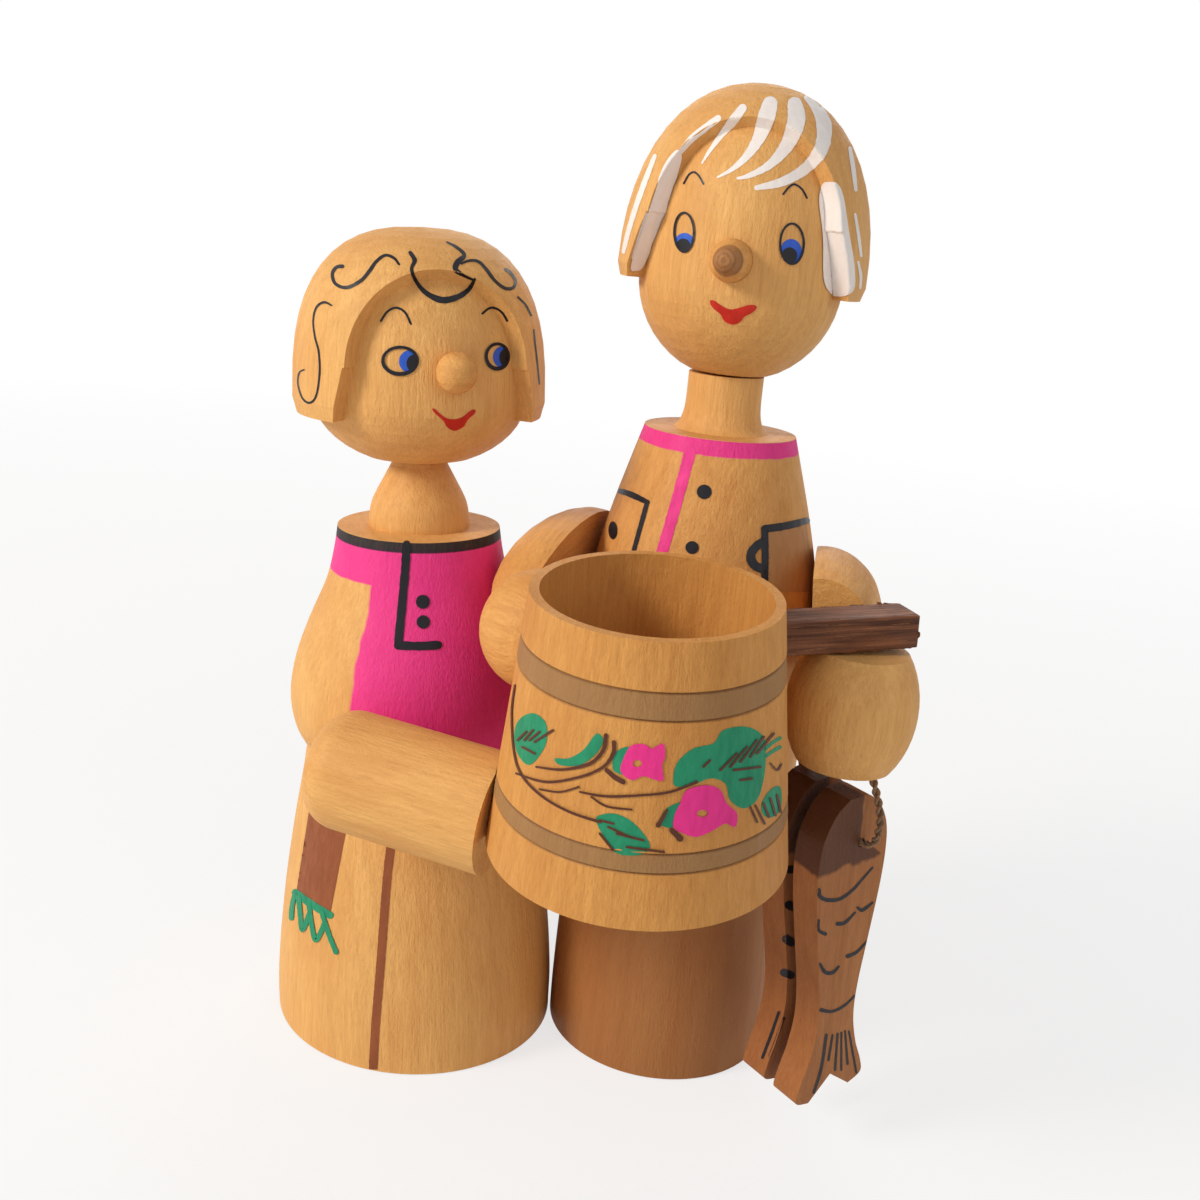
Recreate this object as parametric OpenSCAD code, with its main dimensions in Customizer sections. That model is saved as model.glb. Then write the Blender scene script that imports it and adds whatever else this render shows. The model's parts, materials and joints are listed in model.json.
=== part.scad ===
// A painted wooden couple holding a barrel cup, the boy with two fish on a string.
// Millimetres, +Z up, +Y away from the front. The origin is on the table, at the
// middle of the girl's base. Left and right in the names are the doll's own.

/* [Girl] */
// Radius of the girl's base
girl_base_r = 23; // [21:0.5:26]
// Height of the girl's flat shoulder, along her axis
girl_body_h = 83.2; // [81:0.2:86]
// How far the girl leans away from the boy, in degrees
girl_lean = 3.2; // [0:0.1:4]
// Height of the bell-shaped neck
girl_neck_h = 10.3; // [8:0.1:11]
// Radius of the bell at its foot
girl_neck_r = 7.8; // [6.5:0.1:9]
// Radius of the bell at its top
girl_neck_top_r = 4.2; // [3.9:0.1:5]
// Radius of the girl's head over the carved hair
girl_head_r = 19; // [18:0.1:20]
// Height of the girl's head
girl_head_h = 34.2; // [33:0.1:37]
// Turn of the carved face to the girl's left, in degrees
girl_face_turn = 20; // [8:1:26]
// Turn of the nose and the painted features, in degrees
girl_nose_turn = 26; // [10:1:28]
// Radius of the girl's ball nose
girl_nose_r = 2.9; // [2.4:0.1:3.4]

/* [Boy] */
// Radius of the boy's base
boy_base_r = 18.4; // [17:0.2:20]
// Height of the boy's flat shoulder
boy_body_h = 102.6; // [100:0.2:106]
// How far the boy leans, in degrees
boy_lean = 0.8; // [0:0.1:2]
// Gap between the two bases
base_gap = 0.4; // [0.2:0.1:2]
// Bearing of the boy's base as seen from the girl's, in degrees
boy_bearing = 2; // [0:1:6]
// Height of the boy's neck that shows
boy_neck_h = 8.5; // [7:0.1:10]
// Radius of the boy's neck
boy_neck_r = 5.7; // [5:0.1:7]
// Radius of the flare at the foot of the boy's neck
boy_neck_foot_r = 7.2; // [7:0.1:9]
// Radius of the boy's head over the carved hair
boy_head_r = 18.4; // [17.5:0.1:20]
// Height of the boy's head
boy_head_h = 40.9; // [39:0.1:43]
// Turn of the boy's carved face, in degrees
boy_face_turn = -7; // [-12:1:8]
// Turn of the boy's nose and painted features, in degrees
boy_nose_turn = -10; // [-15:1:10]
// Tilt of the boy's head to his left, in degrees
boy_head_tilt = 1.2; // [0:0.1:3]
// How far the boy's head sits to his left of the dowel
boy_head_shift = 0.2; // [0:0.1:1]
// Radius of the boy's nose at its fullest
boy_nose_r = 2.9; // [2.4:0.1:3.4]
// How far the boy's nose stands out
boy_nose_len = 6.2; // [5:0.1:8]

/* [Arms and hands] */
// Radius of the girl's straight arm
arm_r = 8.6; // [8:0.1:9.2]
// Height of the girl's arm where it passes her waist
arm_z = 53.4; // [52:0.2:56]
// How far the arm runs on past her waist to its rounded end
arm_tip_reach = 2; // [1:0.1:5]
// Rounding of the arm's free end
arm_round = 5; // [3:0.1:6]
// Turn of the girl's arm towards the front, in degrees
arm_swing = 15; // [10:0.5:18]
// Fall of the girl's arm towards the barrel, in degrees
arm_fall = 4; // [0:0.5:6]
// How far the arm's end is coped round the barrel
arm_cope = 1.2; // [0.5:0.1:2]
// Radius of the boy's upper arms at their fullest
bead_r = 9.1; // [8.8:0.1:10]
// Half the length of an upper-arm bead before its ends are cut
bead_half = 19; // [17:0.2:22]
// How far an upper arm's axis stands out from its flat inner face
bead_in = 1; // [0.2:0.1:1.5]
// Height of the boy's upper arms
bead_z = 78.2; // [76:0.2:81]
// Fall of the boy's right arm towards the front, in degrees
bead_fall = 10; // [4:0.5:12]
// Bearing of the boy's right arm from his axis, in degrees
right_bearing = 161; // [156:1:168]
// Bearing of the boy's left arm from his axis, in degrees
left_bearing = -9; // [-16:1:0]
// Radius of the boy's right hand
hand_r = 8.7; // [8:0.1:9.4]
// Height of the right hand's middle
hand_z = 75.6; // [74:0.2:78]
// Bearing of the right hand from the barrel's axis, in degrees
hand_bearing = 137; // [132:1:142]
// Distance from the right hand's middle to the barrel's wall
hand_in = 3.4; // [2.5:0.1:5]
// Distance from a hand's middle to the face that seats on the upper arm
hand_back = 6; // [5:0.1:7]
// Radius of the boy's left fist
fist_r = 9.2; // [8.6:0.1:10]
// Height of the boy's left fist
fist_h = 16.8; // [16:0.2:18]
// Radius of the flat faces above and below the fist
fist_flat_r = 6.8; // [6.4:0.1:7.2]
// How far the fist stands to the side of the boy's axis
fist_side = 19.8; // [18:0.2:22]
// How far the fist stands in front of the boy's axis
fist_front = 27; // [25:0.2:29]
// Height of the fist's upper face
fist_top_z = 78.2; // [77:0.2:79]

/* [Barrel and handle] */
// Outer radius of the barrel at its rim
barrel_top_r = 16.2; // [15:0.1:18]
// Outer radius of the barrel at its bottom
barrel_bottom_r = 20.5; // [19:0.1:22]
// Height of the barrel
barrel_h = 36.2; // [34:0.2:40]
// Inner radius of the barrel
barrel_bore_r = 14.9; // [13.5:0.1:14.9]
// Thickness of the barrel's bottom
barrel_floor = 6.5; // [6:0.1:8]
// Distance of the barrel's axis to the side of the girl's base
barrel_x = 33.5; // [32:0.2:35]
// Height of the barrel's bottom above the table
barrel_z = 51; // [50:0.2:53]
// Lean of the barrel towards the front, in degrees
barrel_lean = 5; // [0:0.5:6]
// Lean of the barrel towards the girl, in degrees
barrel_side_lean = 2; // [0:0.5:3]
// Depth of the scribed lines round the barrel
scribe_depth = 0.25; // [0.1:0.05:0.4]
// Height of the stick that is the barrel's handle
stick_h = 5; // [4:0.1:6]
// Depth of the stick from front to back
stick_w = 6.4; // [5:0.1:7]
// Reach of the stick beyond the middle of the fist
stick_reach = 7; // [6.5:0.1:8]
// Turn of the stick towards the back, in degrees
stick_turn = 18; // [14:1:22]
// Rise of the stick towards its free end, in degrees
stick_rise = 4; // [0:0.5:5]

/* [Fish and string] */
// Length of each fish
fish_len = 49.5; // [46:0.5:51]
// Width of each fish at its fullest
fish_w = 13.4; // [12:0.2:15]
// Thickness of each fish
fish_t = 4.8; // [4:0.1:5]
// Gap between the two fish
fish_gap = 2; // [1.6:0.1:2.2]
// Gap between the fist and the fishes' mouths
fish_drop = 2.6; // [2.4:0.1:3]
// Distance from the mouth down to the gill hole
gill_drop = 7.5; // [6.5:0.1:8.5]
// Distance of the gill hole from the middle of the fish
gill_side = 1.4; // [0.5:0.1:1.5]
// Turn of the fishes' broad sides, in degrees
fish_turn = 38; // [34:1:42]
// Radius of the string
string_r = 0.6; // [0.5:0.05:0.6]
// Radius of the hole through each gill
gill_r = 0.68; // [0.68:0.01:0.7]
// How far the string stands out from the fish
string_out = 2.6; // [2.2:0.1:3.4]
// Depth of the string's two ends in the fist
string_deep = 2.3; // [1.5:0.1:4]

/* [Joinery] */
// Radius of the neck dowels
dowel_r = 2.5; // [2:0.1:3]
// Depth of the neck dowels in the shoulders
dowel_sunk = 14; // [10:0.5:18]
// Depth of the neck dowels in the heads
dowel_up = 13; // [10:0.5:16]
// Radial play that lets a head turn on its dowel
turn_play = 0.08; // [0.05:0.01:0.1]
// Gap under a head that lets it turn
head_gap = 0.3; // [0.3:0.05:0.5]
// Radius of the pegs that join arms, hands and barrel
peg_r = 1.5; // [1.2:0.1:1.8]
// Length of those pegs
peg_len = 10; // [8:0.5:11]
// Radius of the shank behind each nose
shank_r = 1.3; // [1:0.1:1.5]
// Length of the shank behind each nose
shank_len = 5; // [4:0.2:6]
// Glue gap round dowels, pegs and shanks
glue_gap = 0.04; // [0.02:0.01:0.06]
// Gap between two glued faces
seat_gap = 0.1; // [0.05:0.01:0.15]
// Least gap between the boy's right arm and the girl
pass_gap = 0.2; // [0.1:0.05:0.25]

/* [Hidden] */
$fn = 72;
over = 1;
arc_steps = 12;
curve_steps = 5;
string_steps = 2;

// Outlines as shares: radius of the base radius, height of the body's height
skirt_shares = [[1, 0], [1.002, 0.07], [0.978, 0.17], [0.93, 0.29], [0.865, 0.41], [0.804, 0.505],
                [0.776, 0.555]];
waist_groove_share = [0.752, 0.566];
blouse_shares = [[0.78, 0.578], [0.848, 0.617], [0.876, 0.675], [0.835, 0.745], [0.743, 0.817],
                 [0.626, 0.893], [0.574, 0.95], [0.546, 1]];
trouser_shares = [[1, 0], [1.002, 0.06], [0.99, 0.16], [0.96, 0.28], [0.935, 0.385]];
hem_groove_share = [0.9, 0.395];
shirt_shares = [[0.975, 0.405], [0.995, 0.5], [1, 0.6], [0.99, 0.7], [0.958, 0.77], [0.918, 0.815],
                [0.83, 0.878], [0.73, 0.94], [0.63, 1]];
bell_shares = [[1, 0], [1, 0.1], [0.93, 0.38], [0.72, 0.7], [0.56, 0.93]];

// The boy's neck: share of its flare, share of its height
flare_shares = [[1, 0], [0.43, 0.12], [0.05, 0.4], [0, 1]];

// Head forms as shares of the head's radius and height
girl_hair_low_share = 0.205;
girl_hair_mid_share = 0.27;
girl_hair_power = 2.6;
girl_face_r_share = 0.853;
girl_face_mid_share = 0.284;
girl_face_top_share = 0.98;
girl_arch_r_share = 0.70;
girl_arch_depth_share = 0.72;
girl_arch_mid_share = 0.435;
girl_splay = 40;
girl_lock_lean = 15;
girl_nose_z_share = 0.436;
boy_hair_low_share = 0.306;
boy_hair_mid_share = 0.352;
boy_hair_power = 2.2;
boy_face_r_share = 0.82;
boy_face_mid_share = 0.332;
boy_face_top_share = 0.965;
boy_arch_r_share = 0.55;
boy_arch_depth_share = 0.462;
boy_arch_mid_share = 0.53;
boy_splay = 45;
boy_lock_lean = 23;
boy_nose_z_share = 0.4;
face_power = 2.5;
chin_power = 2;
chin_flat_share = 0.03;
carve_share = 0.2;
nose_stand_share = 0.62;
nose_tip_share = 0.62;
nose_waist_share = 0.9;
nose_rim_share = 0.8;

// Barrel lines as shares of its height, and the fish outline as shares of
// half its width and of its length, from the fork of the tail to the mouth
scribe_shares = [0.205, 0.275, 0.735, 0.83];
fish_side_shares = [[0.62, 0], [1, 0.02], [0.95, 0.07], [0.72, 0.15], [0.56, 0.25], [0.58, 0.36],
                    [0.76, 0.52], [0.94, 0.68], [1, 0.8], [0.92, 0.89], [0.62, 0.965], [0.25, 1]];
fork_share = 0.07;

// Places that follow from the sizes
girl_reach = girl_base_r * max([for (p = blouse_shares) p[0]]);
boy_reach = boy_base_r * max([for (p = shirt_shares) p[0]]);
base_dist = girl_base_r + boy_base_r + base_gap;
boy_x = base_dist * cos(boy_bearing);
boy_y = base_dist * sin(boy_bearing);
barrel_apart = boy_reach + barrel_bottom_r + seat_gap;
barrel_y = boy_y - sqrt(pow(barrel_apart, 2) - pow(boy_axis(barrel_z)[0] - barrel_x, 2));

function girl_axis(z) = [-z * tan(girl_lean), 0];
function boy_axis(z) = [boy_x - z * tan(boy_lean), boy_y];
function barrel_axis(z) = [barrel_x - (z - barrel_z) * tan(barrel_side_lean),
                           barrel_y - (z - barrel_z) * tan(barrel_lean)];
function barrel_r(z) = barrel_bottom_r - (barrel_bottom_r - barrel_top_r) * (z - barrel_z) / barrel_h;
function at_height(p, z) = [p[0], p[1], z];
// How far the edge of a leaning base runs on below the table before it is cut
function dip(r, lean) = r * tan(lean) + over;
function bearing(a) = [cos(a), sin(a)];

// The girl's outline from her base to her shoulder
girl_line = concat(smooth_line(scaled(skirt_shares, girl_base_r, girl_body_h)),
                   scaled([waist_groove_share], girl_base_r, girl_body_h),
                   smooth_line(scaled(blouse_shares, girl_base_r, girl_body_h)));

// The girl's arm runs past her waist and ends against the barrel
arm_dir = bearing(-arm_swing);
arm_off = [-sin(arm_swing), -cos(arm_swing)];
arm_foot = girl_axis(arm_z) + arm_off * (girl_reach + arm_r + seat_gap);
arm_end = (barrel_axis(barrel_z) - girl_axis(arm_z)) * arm_dir - barrel_bottom_r + arm_cope;

// The boy's arms seat on the shirt, whose slope they take up
shirt_line = smooth_line(scaled(shirt_shares, boy_base_r, boy_body_h));
function shirt_r(z) = lookup(z, [for (p = shirt_line) [p[1], p[0]]]);
// Half the height over which the slope is taken
slope_span = 4;
bead_slope = atan((shirt_r(bead_z - slope_span) - shirt_r(bead_z + slope_span)) / (2 * slope_span));
right_foot = boy_axis(bead_z) + bearing(right_bearing) * shirt_r(bead_z);
left_foot = boy_axis(bead_z) + bearing(left_bearing) * shirt_r(bead_z);
right_fwd = bearing(right_bearing + 90);
left_fwd = bearing(left_bearing - 90);
hand_mid = barrel_axis(hand_z) + bearing(hand_bearing) * (barrel_r(hand_z) + hand_in);
fist_mid = [boy_x + fist_side, boy_y - fist_front];
left_front = (fist_mid - left_foot) * left_fwd - hand_back;
right_mid_share = 0.6;
left_mid_share = 0.36;
bead_back_share = 0.68;
bead_tip_share = 0.3;

// Joining pegs: the middle of each and its turn
waist_peg = arm_foot + arm_dir * arm_round - arm_off * arm_r;
floor_peg_z = barrel_z + barrel_floor / 2 + peg_r / 4;
arm_peg = arm_foot + arm_dir * (arm_end - arm_cope);
boy_side = (barrel_axis(floor_peg_z) - boy_axis(floor_peg_z));
boy_side_turn = atan2(boy_side[1], boy_side[0]);
belly_peg = boy_axis(floor_peg_z) + bearing(boy_side_turn) * boy_reach;
// The hand's peg lies askew and a little towards the shirt, where hand and upper arm hide it
hand_peg_skew = 17;
hand_peg = hand_mid + bearing(hand_bearing) * hand_back + bearing(hand_bearing - 90) * peg_r;
fist_peg = left_foot + left_fwd * left_front + bearing(left_bearing) * (bead_in + peg_r);
fist_peg_z = (bead_z + fist_top_z) / 2 - bead_r / 2;
PEGS = [[at_height(waist_peg, arm_z), 90 - arm_swing],
        [at_height(arm_peg, floor_peg_z), -arm_swing],
        [at_height(belly_peg, floor_peg_z), boy_side_turn],
        [at_height(right_foot + right_fwd * peg_r * 3, bead_z - peg_r), right_bearing],
        [at_height(left_foot + left_fwd * peg_r, bead_z), left_bearing],
        [at_height(hand_peg, hand_z), hand_bearing - hand_peg_skew],
        [at_height(fist_peg, fist_peg_z), left_bearing + 90]];

// Each fish hangs flat under the fist, side by side on the string
fish_dir = bearing(fish_turn);
fish_face = bearing(fish_turn - 90);
fish_pitch = fish_t + fish_gap;
front_mid = fist_mid + fish_face * (fish_pitch / 2);
rear_mid = front_mid - fish_face * fish_pitch;
gill_z = fist_top_z - fist_h - fish_drop - gill_drop;
gill_h = fish_len - gill_drop;
fish_side = smooth_line(scaled(fish_side_shares, fish_w / 2, fish_len));
fish_last = len(fish_side) - 2;

// Each fish leans until its centre of weight is under its gill hole
slices = [for (i = [0:fish_last])
    (fish_side[i + 1][1] - fish_side[i][1]) * (fish_side[i + 1][0] + fish_side[i][0])];
slice_z = [for (i = [0:fish_last]) (fish_side[i + 1][1] + fish_side[i][1]) / 2];
weight_h = (slices * slice_z) / (slices * [for (i = [0:fish_last]) 1]);
fish_lean = atan(gill_side / (gill_h - weight_h));

// The string's route seen along the fish faces, as distance from the fist's
// axis and height above the gill holes, up one side; the other side mirrors it.
// It leaves the outer fish face, stands out from it, then closes in on its hole.
// Shares: of how far it stands out, or comes in again, and of its rise to the fist
string_out_shares = [[0.54, 0.04], [0.89, 0.14], [1, 0.28]];
string_in_shares = [[0.96, 0.475], [0.71, 0.67], [0.36, 0.85], [0.04, 1.01]];
string_sides = 8;
string_face = (fish_pitch + fish_t) / 2;
string_far = string_face + string_out;
string_rise = fish_drop + gill_drop;
string_hole_at = fist_flat_r - 2 * string_r;
string_side = concat(
    [[0, 0], [string_face / 2, 0], [string_face, 0]],
    [for (s = string_out_shares) [string_face + string_out * s[0], string_rise * s[1]]],
    [for (s = string_in_shares)
        [string_hole_at + (string_far - string_hole_at) * s[0], string_rise * s[1]]],
    [[string_hole_at, string_rise + string_deep]]);

// Curves
function catmull(a, b, c, d, t) =
    (2 * b + (c - a) * t + (2 * a - 5 * b + 4 * c - d) * pow(t, 2)
     + (3 * b - a - 3 * c + d) * pow(t, 3)) / 2;
function smooth_line(pts, steps = curve_steps) =
    [for (i = [0:len(pts) - 2]) for (k = [0:steps - 1])
        catmull(pts[max(i - 1, 0)], pts[i], pts[i + 1], pts[min(i + 2, len(pts) - 1)], k / steps),
     pts[len(pts) - 1]];
function scaled(shares, r, h) = [for (s = shares) [s[0] * r, s[1] * h]];
function round_arc(r, h, power, from, to) =
    [for (i = [0:arc_steps]) let (a = from + (to - from) * i / arc_steps)
        [r * pow(abs(cos(a)), 2 / power), sign(sin(a)) * h * pow(abs(sin(a)), 2 / power)]];
function lifted(pts, z) = [for (p = pts) [p[0], max(p[1] + z, 0)]];

// A solid turned from an outline that runs from its foot to its top
module turned(pts) {
    rotate_extrude()
        polygon(concat([[0, pts[0][1]]], pts, [[0, pts[len(pts) - 1][1]]]));
}

// A turned bead with flat ends, its axis upright
module bead(r, half_h, flat_r) {
    full = half_h / sqrt(1 - pow(flat_r / r, 2));
    turned(round_arc(r, full, 2, -asin(half_h / full), asin(half_h / full)));
}

// All space on the far side of a face, as big as it needs to be
module beyond(size) {
    translate([0, -size, -size])
        cube([size * 2, size * 2, size * 2]);
}

module on_girl() {
    rotate([0, -girl_lean, 0])
        children();
}

module on_boy() {
    translate([boy_x, boy_y, 0])
        rotate([0, -boy_lean, 0])
            children();
}

module on_barrel() {
    translate([barrel_x, barrel_y, barrel_z])
        rotate([barrel_lean, -barrel_side_lean, 0])
            children();
}

module below_table() {
    size = girl_base_r + boy_x + boy_base_r;
    translate([-size, -size, -size])
        cube([size * 2, size * 2, size]);
}

module peg(i, gap = 0) {
    translate(PEGS[i][0])
        rotate([0, 90, PEGS[i][1]])
            cylinder(h = peg_len + 2 * gap, r = peg_r + gap, center = true);
}

module peg_hole(i) {
    peg(i, glue_gap);
}

// The girl's outer form, grown by a gap
module girl_block(gap) {
    last = len(girl_line) - 1;
    on_girl()
        turned(concat([for (p = girl_line) [p[0] + gap, p[1]]],
                      [[girl_line[last][0] + gap, girl_line[last][1] + gap]]));
}

// The neck dowel's run through shoulder, neck and head, with a gap all round
module dowel_run(body_h, neck_h, gap) {
    translate([0, 0, body_h - dowel_sunk - gap])
        cylinder(h = dowel_sunk + neck_h + head_gap + dowel_up + 2 * gap, r = dowel_r + gap);
}

// A carved head: a round face set back inside a cap of hair
module carved_head(r, h, low, mid, power, face_r, face_mid, face_top) {
    chin_h = h * (face_mid + chin_flat_share);
    face = concat(
        lifted(round_arc(r * face_r, chin_h, chin_power, -90, 0), h * face_mid),
        lifted(round_arc(r * face_r, h * (face_top - face_mid), face_power, 0, 90), h * face_mid));
    cap = concat(
        [[r * (1 - chin_flat_share), h * low]],
        lifted(round_arc(r, h * (1 - mid), power, 0, 90), h * mid));
    turned(face);
    difference() {
        turned(cap);
        children();
    }
}

// The opening cut in the hair for the face: a cone above, two slanting cuts below
module face_opening(r, h, arch_r, depth, mid, splay, lean, turn) {
    near = r * carve_share;
    far = r + over;
    apex = r * depth - r * arch_r / tan(splay);
    rotate([0, 0, turn])
        translate([0, 0, h * mid]) {
            translate([0, -near, 0])
                rotate([90, 0, 0])
                    cylinder(h = far - near, r1 = (near - apex) * tan(splay),
                             r2 = (far - apex) * tan(splay));
            difference() {
                translate([-h, -far, -h])
                    cube([h * 2, far - near, h]);
                for (side = [0, 1])
                    mirror([side, 0, 0])
                        translate([0, over / 2 - apex, 0])
                            rotate([0, -lean, splay])
                                beyond(h * 2);
            }
        }
}

// Places a nose or its socket on a face: from the head's axis, out and up
module on_face(turn, z) {
    translate([0, 0, z])
        rotate([90, 0, turn])
            children();
}

module girl_body() {
    color("burlywood")
        difference() {
            on_girl()
                turned(concat([[girl_base_r, -dip(girl_base_r, girl_lean)]], girl_line));
            on_girl()
                dowel_run(girl_body_h, girl_neck_h, glue_gap);
            below_table();
            peg_hole(0);
        }
}

module girl_neck() {
    color("burlywood")
        on_girl()
            difference() {
                translate([0, 0, girl_body_h])
                    turned(concat(smooth_line(scaled(bell_shares, girl_neck_r, girl_neck_h)),
                                  [[girl_neck_top_r, girl_neck_h]]));
                dowel_run(girl_body_h, girl_neck_h, glue_gap);
            }
}

module girl_neck_dowel() {
    color("tan")
        on_girl()
            dowel_run(girl_body_h, girl_neck_h, 0);
}

girl_head_z = girl_body_h + girl_neck_h + head_gap;
girl_nose_out = girl_head_r * girl_face_r_share + girl_nose_r * nose_stand_share;
girl_nose_z = girl_head_z + girl_head_h * girl_nose_z_share;

module girl_head() {
    color("burlywood")
        on_girl()
            difference() {
                translate([0, 0, girl_head_z])
                    carved_head(girl_head_r, girl_head_h, girl_hair_low_share, girl_hair_mid_share,
                                girl_hair_power, girl_face_r_share, girl_face_mid_share,
                                girl_face_top_share)
                        face_opening(girl_head_r, girl_head_h, girl_arch_r_share,
                                     girl_arch_depth_share, girl_arch_mid_share, girl_splay,
                                     girl_lock_lean, girl_face_turn);
                dowel_run(girl_body_h, girl_neck_h, turn_play);
                on_face(girl_nose_turn, girl_nose_z)
                    girl_nose_form(glue_gap);
            }
}

module girl_nose_form(gap) {
    translate([0, 0, girl_nose_out]) {
        sphere(girl_nose_r + gap);
        translate([0, 0, -girl_nose_r - shank_len - gap])
            cylinder(h = girl_nose_r + shank_len + gap, r = shank_r + gap);
    }
}

module girl_nose() {
    color("burlywood")
        on_girl()
            on_face(girl_nose_turn, girl_nose_z)
                girl_nose_form(0);
}

module girl_arm() {
    shaft = arm_tip_reach + arm_end / cos(arm_fall);
    outline = concat([[arm_r, 0], [arm_r, shaft - arm_round]],
                     [for (i = [1:arc_steps]) let (a = 90 * i / arc_steps)
                         [arm_r - arm_round * (1 - cos(a)), shaft - arm_round * (1 - sin(a))]]);
    color("burlywood")
        difference() {
            translate(at_height(arm_foot, arm_z))
                rotate([0, arm_fall, -arm_swing])
                    translate([arm_end / cos(arm_fall), 0, 0])
                        rotate([0, -90, 0])
                            turned(outline);
            barrel_block(seat_gap);
            peg_hole(0);
            peg_hole(1);
        }
}

module boy_body() {
    trousers = smooth_line(scaled(trouser_shares, boy_base_r, boy_body_h));
    groove = scaled([hem_groove_share], boy_base_r, boy_body_h);
    color("peru")
        difference() {
            on_boy()
                turned(concat([[boy_base_r, -dip(boy_base_r, boy_lean)]], trousers, groove, shirt_line));
            on_boy()
                dowel_run(boy_body_h, boy_neck_h, glue_gap);
            below_table();
            for (i = [2:4])
                peg_hole(i);
        }
}

module boy_neck() {
    color("burlywood")
        on_boy()
            difference() {
                translate([0, 0, boy_body_h])
                    turned(smooth_line([for (s = flare_shares)
                        [boy_neck_r + (boy_neck_foot_r - boy_neck_r) * s[0], s[1] * boy_neck_h]]));
                dowel_run(boy_body_h, boy_neck_h, glue_gap);
            }
}

module boy_neck_dowel() {
    color("tan")
        on_boy()
            dowel_run(boy_body_h, boy_neck_h, 0);
}

boy_head_z = boy_body_h + boy_neck_h + head_gap;
boy_nose_root = boy_head_r * boy_face_r_share - boy_nose_r / 2;

module on_boy_head() {
    on_boy()
        translate([boy_head_shift, 0, boy_head_z])
            rotate([0, boy_head_tilt, 0])
                children();
}

module boy_head() {
    color("burlywood")
        difference() {
            on_boy_head()
                carved_head(boy_head_r, boy_head_h, boy_hair_low_share, boy_hair_mid_share,
                            boy_hair_power, boy_face_r_share, boy_face_mid_share,
                            boy_face_top_share)
                    face_opening(boy_head_r, boy_head_h, boy_arch_r_share,
                                 boy_arch_depth_share, boy_arch_mid_share, boy_splay,
                                 boy_lock_lean, boy_face_turn);
            on_boy() {
                dowel_run(boy_body_h, boy_neck_h, turn_play);
                translate([-boy_head_r, -boy_head_r, boy_head_z - boy_head_r])
                    cube([boy_head_r * 2, boy_head_r * 2, boy_head_r]);
            }
            on_boy_head()
                on_face(boy_nose_turn, boy_head_h * boy_nose_z_share)
                    boy_nose_form(glue_gap);
        }
}

module boy_nose_form(gap) {
    stand = boy_nose_len + boy_nose_r / 2;
    tip_r = boy_nose_r * nose_tip_share;
    translate([0, 0, boy_nose_root - gap])
        turned(concat(
            [[boy_nose_r + gap, 0]],
            smooth_line([[boy_nose_r + gap, stand / 3], [boy_nose_r * nose_waist_share, stand / 2],
                         [tip_r, stand - tip_r], [tip_r * nose_rim_share, stand - tip_r / 3],
                         [tip_r / 3, stand]])));
    translate([0, 0, boy_nose_root - shank_len - gap])
        cylinder(h = shank_len + 2 * gap, r = shank_r + gap);
}

module boy_nose() {
    color("sienna")
        on_boy_head()
            on_face(boy_nose_turn, boy_head_h * boy_nose_z_share)
                boy_nose_form(0);
}

// An upper arm in its own frame: x out from the shirt, y forward
module upper_arm(mid_share, fall) {
    difference() {
        translate([bead_in, bead_half * mid_share, 0])
            rotate([90 - fall, 0, 0])
                bead(bead_r, bead_half - over, bead_r * bead_tip_share);
        translate([seat_gap, 0, 0])
            mirror([1, 0, 0])
                beyond(bead_half * 2);
        translate([0, bead_half * (mid_share - bead_back_share), 0])
            rotate([0, 0, -90])
                beyond(bead_half * 2);
    }
}

module boy_right_upper_arm() {
    color("burlywood")
        difference() {
            translate(at_height(right_foot, bead_z))
                rotate([0, -bead_slope, right_bearing])
                    upper_arm(right_mid_share, bead_fall);
            translate(at_height(hand_mid, hand_z))
                rotate([0, 0, hand_bearing + 180])
                    translate([-hand_back, 0, 0])
                        beyond(bead_half * 2);
            girl_block(pass_gap);
            peg_hole(3);
            peg_hole(5);
        }
}

module boy_right_hand() {
    color("burlywood")
        difference() {
            translate(at_height(hand_mid, hand_z))
                rotate([0, 90, hand_bearing])
                    bead(hand_r, hand_back, sqrt(pow(hand_r, 2) - pow(hand_back, 2)));
            translate(at_height(hand_mid, hand_z))
                rotate([0, 0, hand_bearing])
                    translate([hand_back - seat_gap, 0, 0])
                        beyond(hand_r * 2);
            barrel_block(seat_gap);
            peg_hole(5);
        }
}

module boy_left_upper_arm() {
    color("burlywood")
        difference() {
            translate(at_height(left_foot, bead_z))
                rotate([0, -bead_slope, left_bearing])
                    mirror([0, 1, 0])
                        upper_arm(left_mid_share, 0);
            translate(at_height(left_foot + left_fwd * left_front, bead_z))
                rotate([0, 0, left_bearing - 90])
                    beyond(bead_half * 2);
            peg_hole(4);
            peg_hole(6);
        }
}

module boy_left_fist() {
    color("burlywood")
        difference() {
            translate(at_height(fist_mid, fist_top_z - fist_h / 2))
                bead(fist_r, fist_h / 2, fist_flat_r);
            translate(at_height(left_foot + left_fwd * (left_front + seat_gap), fist_top_z))
                rotate([0, 0, left_bearing + 90])
                    beyond(fist_h * 2);
            string_ends();
            peg_hole(6);
        }
}

module joining_pegs() {
    color("tan")
        for (i = [0:len(PEGS) - 1])
            peg(i);
}

// The barrel's outer form, grown by a gap, without its hollow
module barrel_block(gap) {
    on_barrel()
        translate([0, 0, -gap])
            turned([[barrel_bottom_r + gap, 0], [barrel_top_r + gap, barrel_h + 2 * gap]]);
}

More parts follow.
